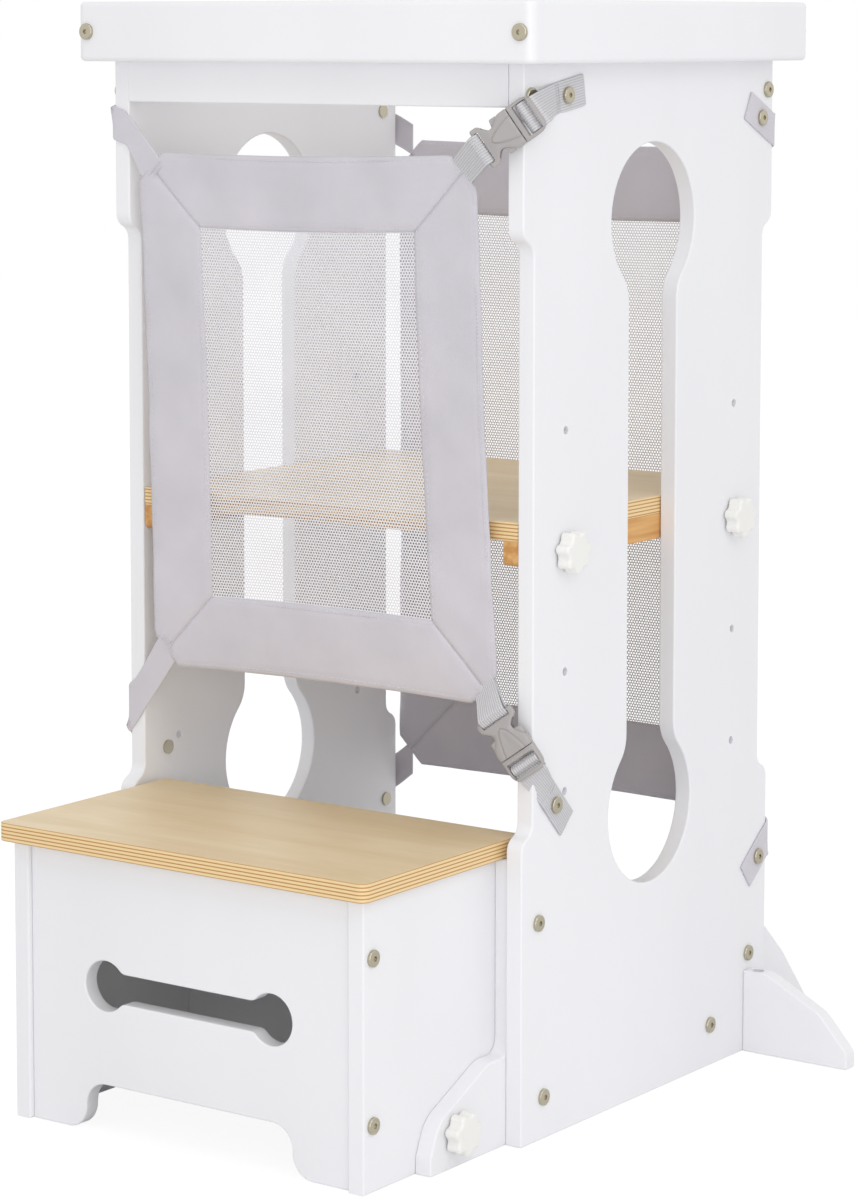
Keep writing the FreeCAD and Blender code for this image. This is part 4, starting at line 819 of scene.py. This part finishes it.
def inFrame(place, u, w, du, dw):
    # a webbing station in the buckle's frame; (du, dw) points along half the webbing's thickness
    basis = place.to_3x3()
    return [place @ (Vector((u, 0, w)) * mm), basis @ Vector((0, 1, 0)) * halfWide,
            basis @ Vector((du, 0, dw)).normalized() * halfThick]


def makeLoop(label, top, place):
    # from the net's cut corner through the socket's slot and back to the net
    middle, along, outward = cutCorner(frontNet, False, top, 0.5)
    if along.dot(place.to_3x3() @ Vector((0, 1, 0))) < 0:
        along = -along
    out = frontNet["place"].to_3x3() @ Vector((0, -1, 0))
    across = along * halfWide
    under = middle - outward * 6 * mm
    edge = middle + outward * 0.5 * mm
    over = socket["lugThick"] + lie
    stations = [
        [under + out * 0.35 * mm, across, out * halfThick * 0.5],
        [edge + out * 0.8 * mm, across, out * halfThick],
        inFrame(place, -37.0, over - 0.6, -0.25, 1),
        inFrame(place, -33.4, over, 0, 1),
        inFrame(place, -30.8, over - 1.4, 1, 0.9),
        inFrame(place, -30.0, 0, 1, 0),
        inFrame(place, -30.8, 1.4 - over, 1, -0.9),
        inFrame(place, -33.4, -over, 0, -1),
        inFrame(place, -37.0, 0.6 - over, -0.25, -1),
        [edge - out * 0.8 * mm, across, -out * halfThick],
        [under - out * 0.35 * mm, across, -out * halfThick * 0.5],
    ]
    weaveStrap("lockLoop" + label, stations, "front_net", ("net_webbing_loops",) if top else ())


def makeTab(label, size, place):
    # from the bolt on the side panel round the plug's bar and back underneath
    at = strapBolts[size["bolt"]]
    direction = size["tab"]
    onWood = [onPanel(1, moved(at, direction, along), direction)
              for along in (webbing["past"], 0, 7 - webbing["past"])]
    if onWood[2][1].dot(place.to_3x3() @ Vector((0, 1, 0))) < 0:
        for station in onWood:
            station[1] = -station[1]
    lift = plug["thick"] + lie
    stations = onWood + [
        inFrame(place, plug["end"] + 2.5, -lift * 0.6, 0, 1),
        inFrame(place, plug["recess"][1] - 1.2, -lift * 0.45, -0.3, 1),
        inFrame(place, 15.2, -0.4, -1, 0.6),
        inFrame(place, 13.6, 1.7, -0.4, 1),
        inFrame(place, 11.3, 2.0, 0, 1),
        inFrame(place, 9.0, 1.7, 0.4, 1),
        inFrame(place, 7.4, -0.4, 1, 0.6),
        inFrame(place, 6.6, -3.4, 1, 0.5),
        inFrame(place, 9.5, -plug["thick"] - lie * 1.4, 0, -1),
        inFrame(place, 20.0, -plug["thick"] - lie * 1.7, 0, -1),
    ]
    weaveStrap("lockTab" + label, stations, "tower", ("front_tabs_right",) if size["node"] == "top" else ())
    rows = []
    for back in (15.5, 12.0):
        middle, across, out = onPanel(1, moved(at, direction, -back), direction)
        rows.append((middle + Vector((halfThick * 1.15, 0, 0)), across, out))
    sewAcross("lockTabStitching" + label, rows, "tower")


for label, size in buckles.items():
    node = size["node"]
    place = buckleFrame(size)
    makeSocket(label, node, place)
    makePlug(label, node, place)
    makePress(label, node, place, "a", -1)
    makePress(label, node, place, "b", 1)
    makeLoop(label, node == "top", place)
    makeTab(label, size, place)
print("buckles moulded")


# a white sweep: the camera sees it near white, while plain lamps and an even sky light the tower
stageLook = {"floor": "#F4F4F5", "size": 14.0, "below": 0.0004, "glow": 1.08, "glowShare": 0.85, "world": 0.79}
lamps = {
    "keyLight": {"place": (2.6, -1.2, 2.6), "aim": (0, 0, 0.5), "size": 1.8, "power": 13.0},
    "fillLight": {"place": (2.0, -2.4, 0.8), "aim": (0, 0, 0.42), "size": 1.4, "power": 13.0},
    "topLight": {"place": (0.4, -1.1, 2.6), "aim": (0, 0.05, 0.5), "size": 1.2, "power": 4.0},
}

floorMesh = bpy.data.meshes.new("floor")
half = stageLook["size"] / 2
corners = [(-half, -half, 0), (half, -half, 0), (half, half, 0), (-half, half, 0)]
floorMesh.from_pydata(corners, [], [(0, 1, 2, 3)])
floor = bpy.data.objects.new("floor", floorMesh)
bpy.context.scene.collection.objects.link(floor)
floor.location.z = -stageLook["below"]
floorPaint, tree, shader = newMaterial("paleFloor", stageLook["floor"], 0.7)
rays = addNode(tree, "ShaderNodeLightPath")
seen = addNode(tree, "ShaderNodeMath", {"operation": "MULTIPLY"}, {0: rays.outputs["Is Camera Ray"]},
               {1: stageLook["glowShare"]})
glow = addNode(tree, "ShaderNodeEmission", values={"Strength": stageLook["glow"]})
addNode(tree, "ShaderNodeMixShader",
        links={0: seen.outputs["Value"], 1: shader.outputs["BSDF"], 2: glow.outputs["Emission"]},
        feeds={"Shader": tree.nodes["Material Output"].inputs["Surface"]})
floorMesh.materials.append(floorPaint)

world = bpy.data.worlds.new("studio")
bpy.context.scene.world = world
world.use_nodes = True
tree = world.node_tree
soft = tree.nodes["Background"]
soft.inputs["Color"].default_value = (1, 1, 1, 1)
soft.inputs["Strength"].default_value = stageLook["world"]
white = addNode(tree, "ShaderNodeBackground", values={"Color": (1, 1, 1, 1), "Strength": 1.0})
rays = addNode(tree, "ShaderNodeLightPath")
first = addNode(tree, "ShaderNodeMath", {"operation": "MAXIMUM"}, {
    0: rays.outputs["Is Camera Ray"], 1: rays.outputs["Is Glossy Ray"]})
backdrop = addNode(tree, "ShaderNodeMath", {"operation": "MAXIMUM"}, {
    0: first.outputs["Value"], 1: rays.outputs["Is Transmission Ray"]})
addNode(tree, "ShaderNodeMixShader",
        links={0: backdrop.outputs["Value"], 1: soft.outputs["Background"], 2: white.outputs["Background"]},
        feeds={"Shader": tree.nodes["World Output"].inputs["Surface"]})

for name, lamp in lamps.items():
    light = bpy.data.lights.new(name, "AREA")
    light.shape = "DISK"
    light.size = lamp["size"]
    light.energy = lamp["power"]
    item = bpy.data.objects.new(name, light)
    bpy.context.scene.collection.objects.link(item)
    item.location = lamp["place"]
    toAim = Vector(lamp["aim"]) - Vector(lamp["place"])
    item.rotation_euler = toAim.to_track_quat("-Z", "Y").to_euler()

lens = {"place": (1.76765, -2.45643, 0.8803), "tilt": 84.358, "turn": 36.005, "focal": 108.839,
        "shiftX": 0.0202, "shiftY": -0.18}
camera = bpy.data.cameras.new("camera")
camera.lens = lens["focal"]
camera.shift_x = lens["shiftX"]
camera.shift_y = lens["shiftY"]
cameraItem = bpy.data.objects.new("camera", camera)
bpy.context.scene.collection.objects.link(cameraItem)
cameraItem.location = lens["place"]
cameraItem.rotation_euler = (math.radians(lens["tilt"]), 0, math.radians(lens["turn"]))
bpy.context.scene.camera = cameraItem
bpy.context.scene.view_settings.view_transform = "Standard"

print("stage, lights and camera placed")
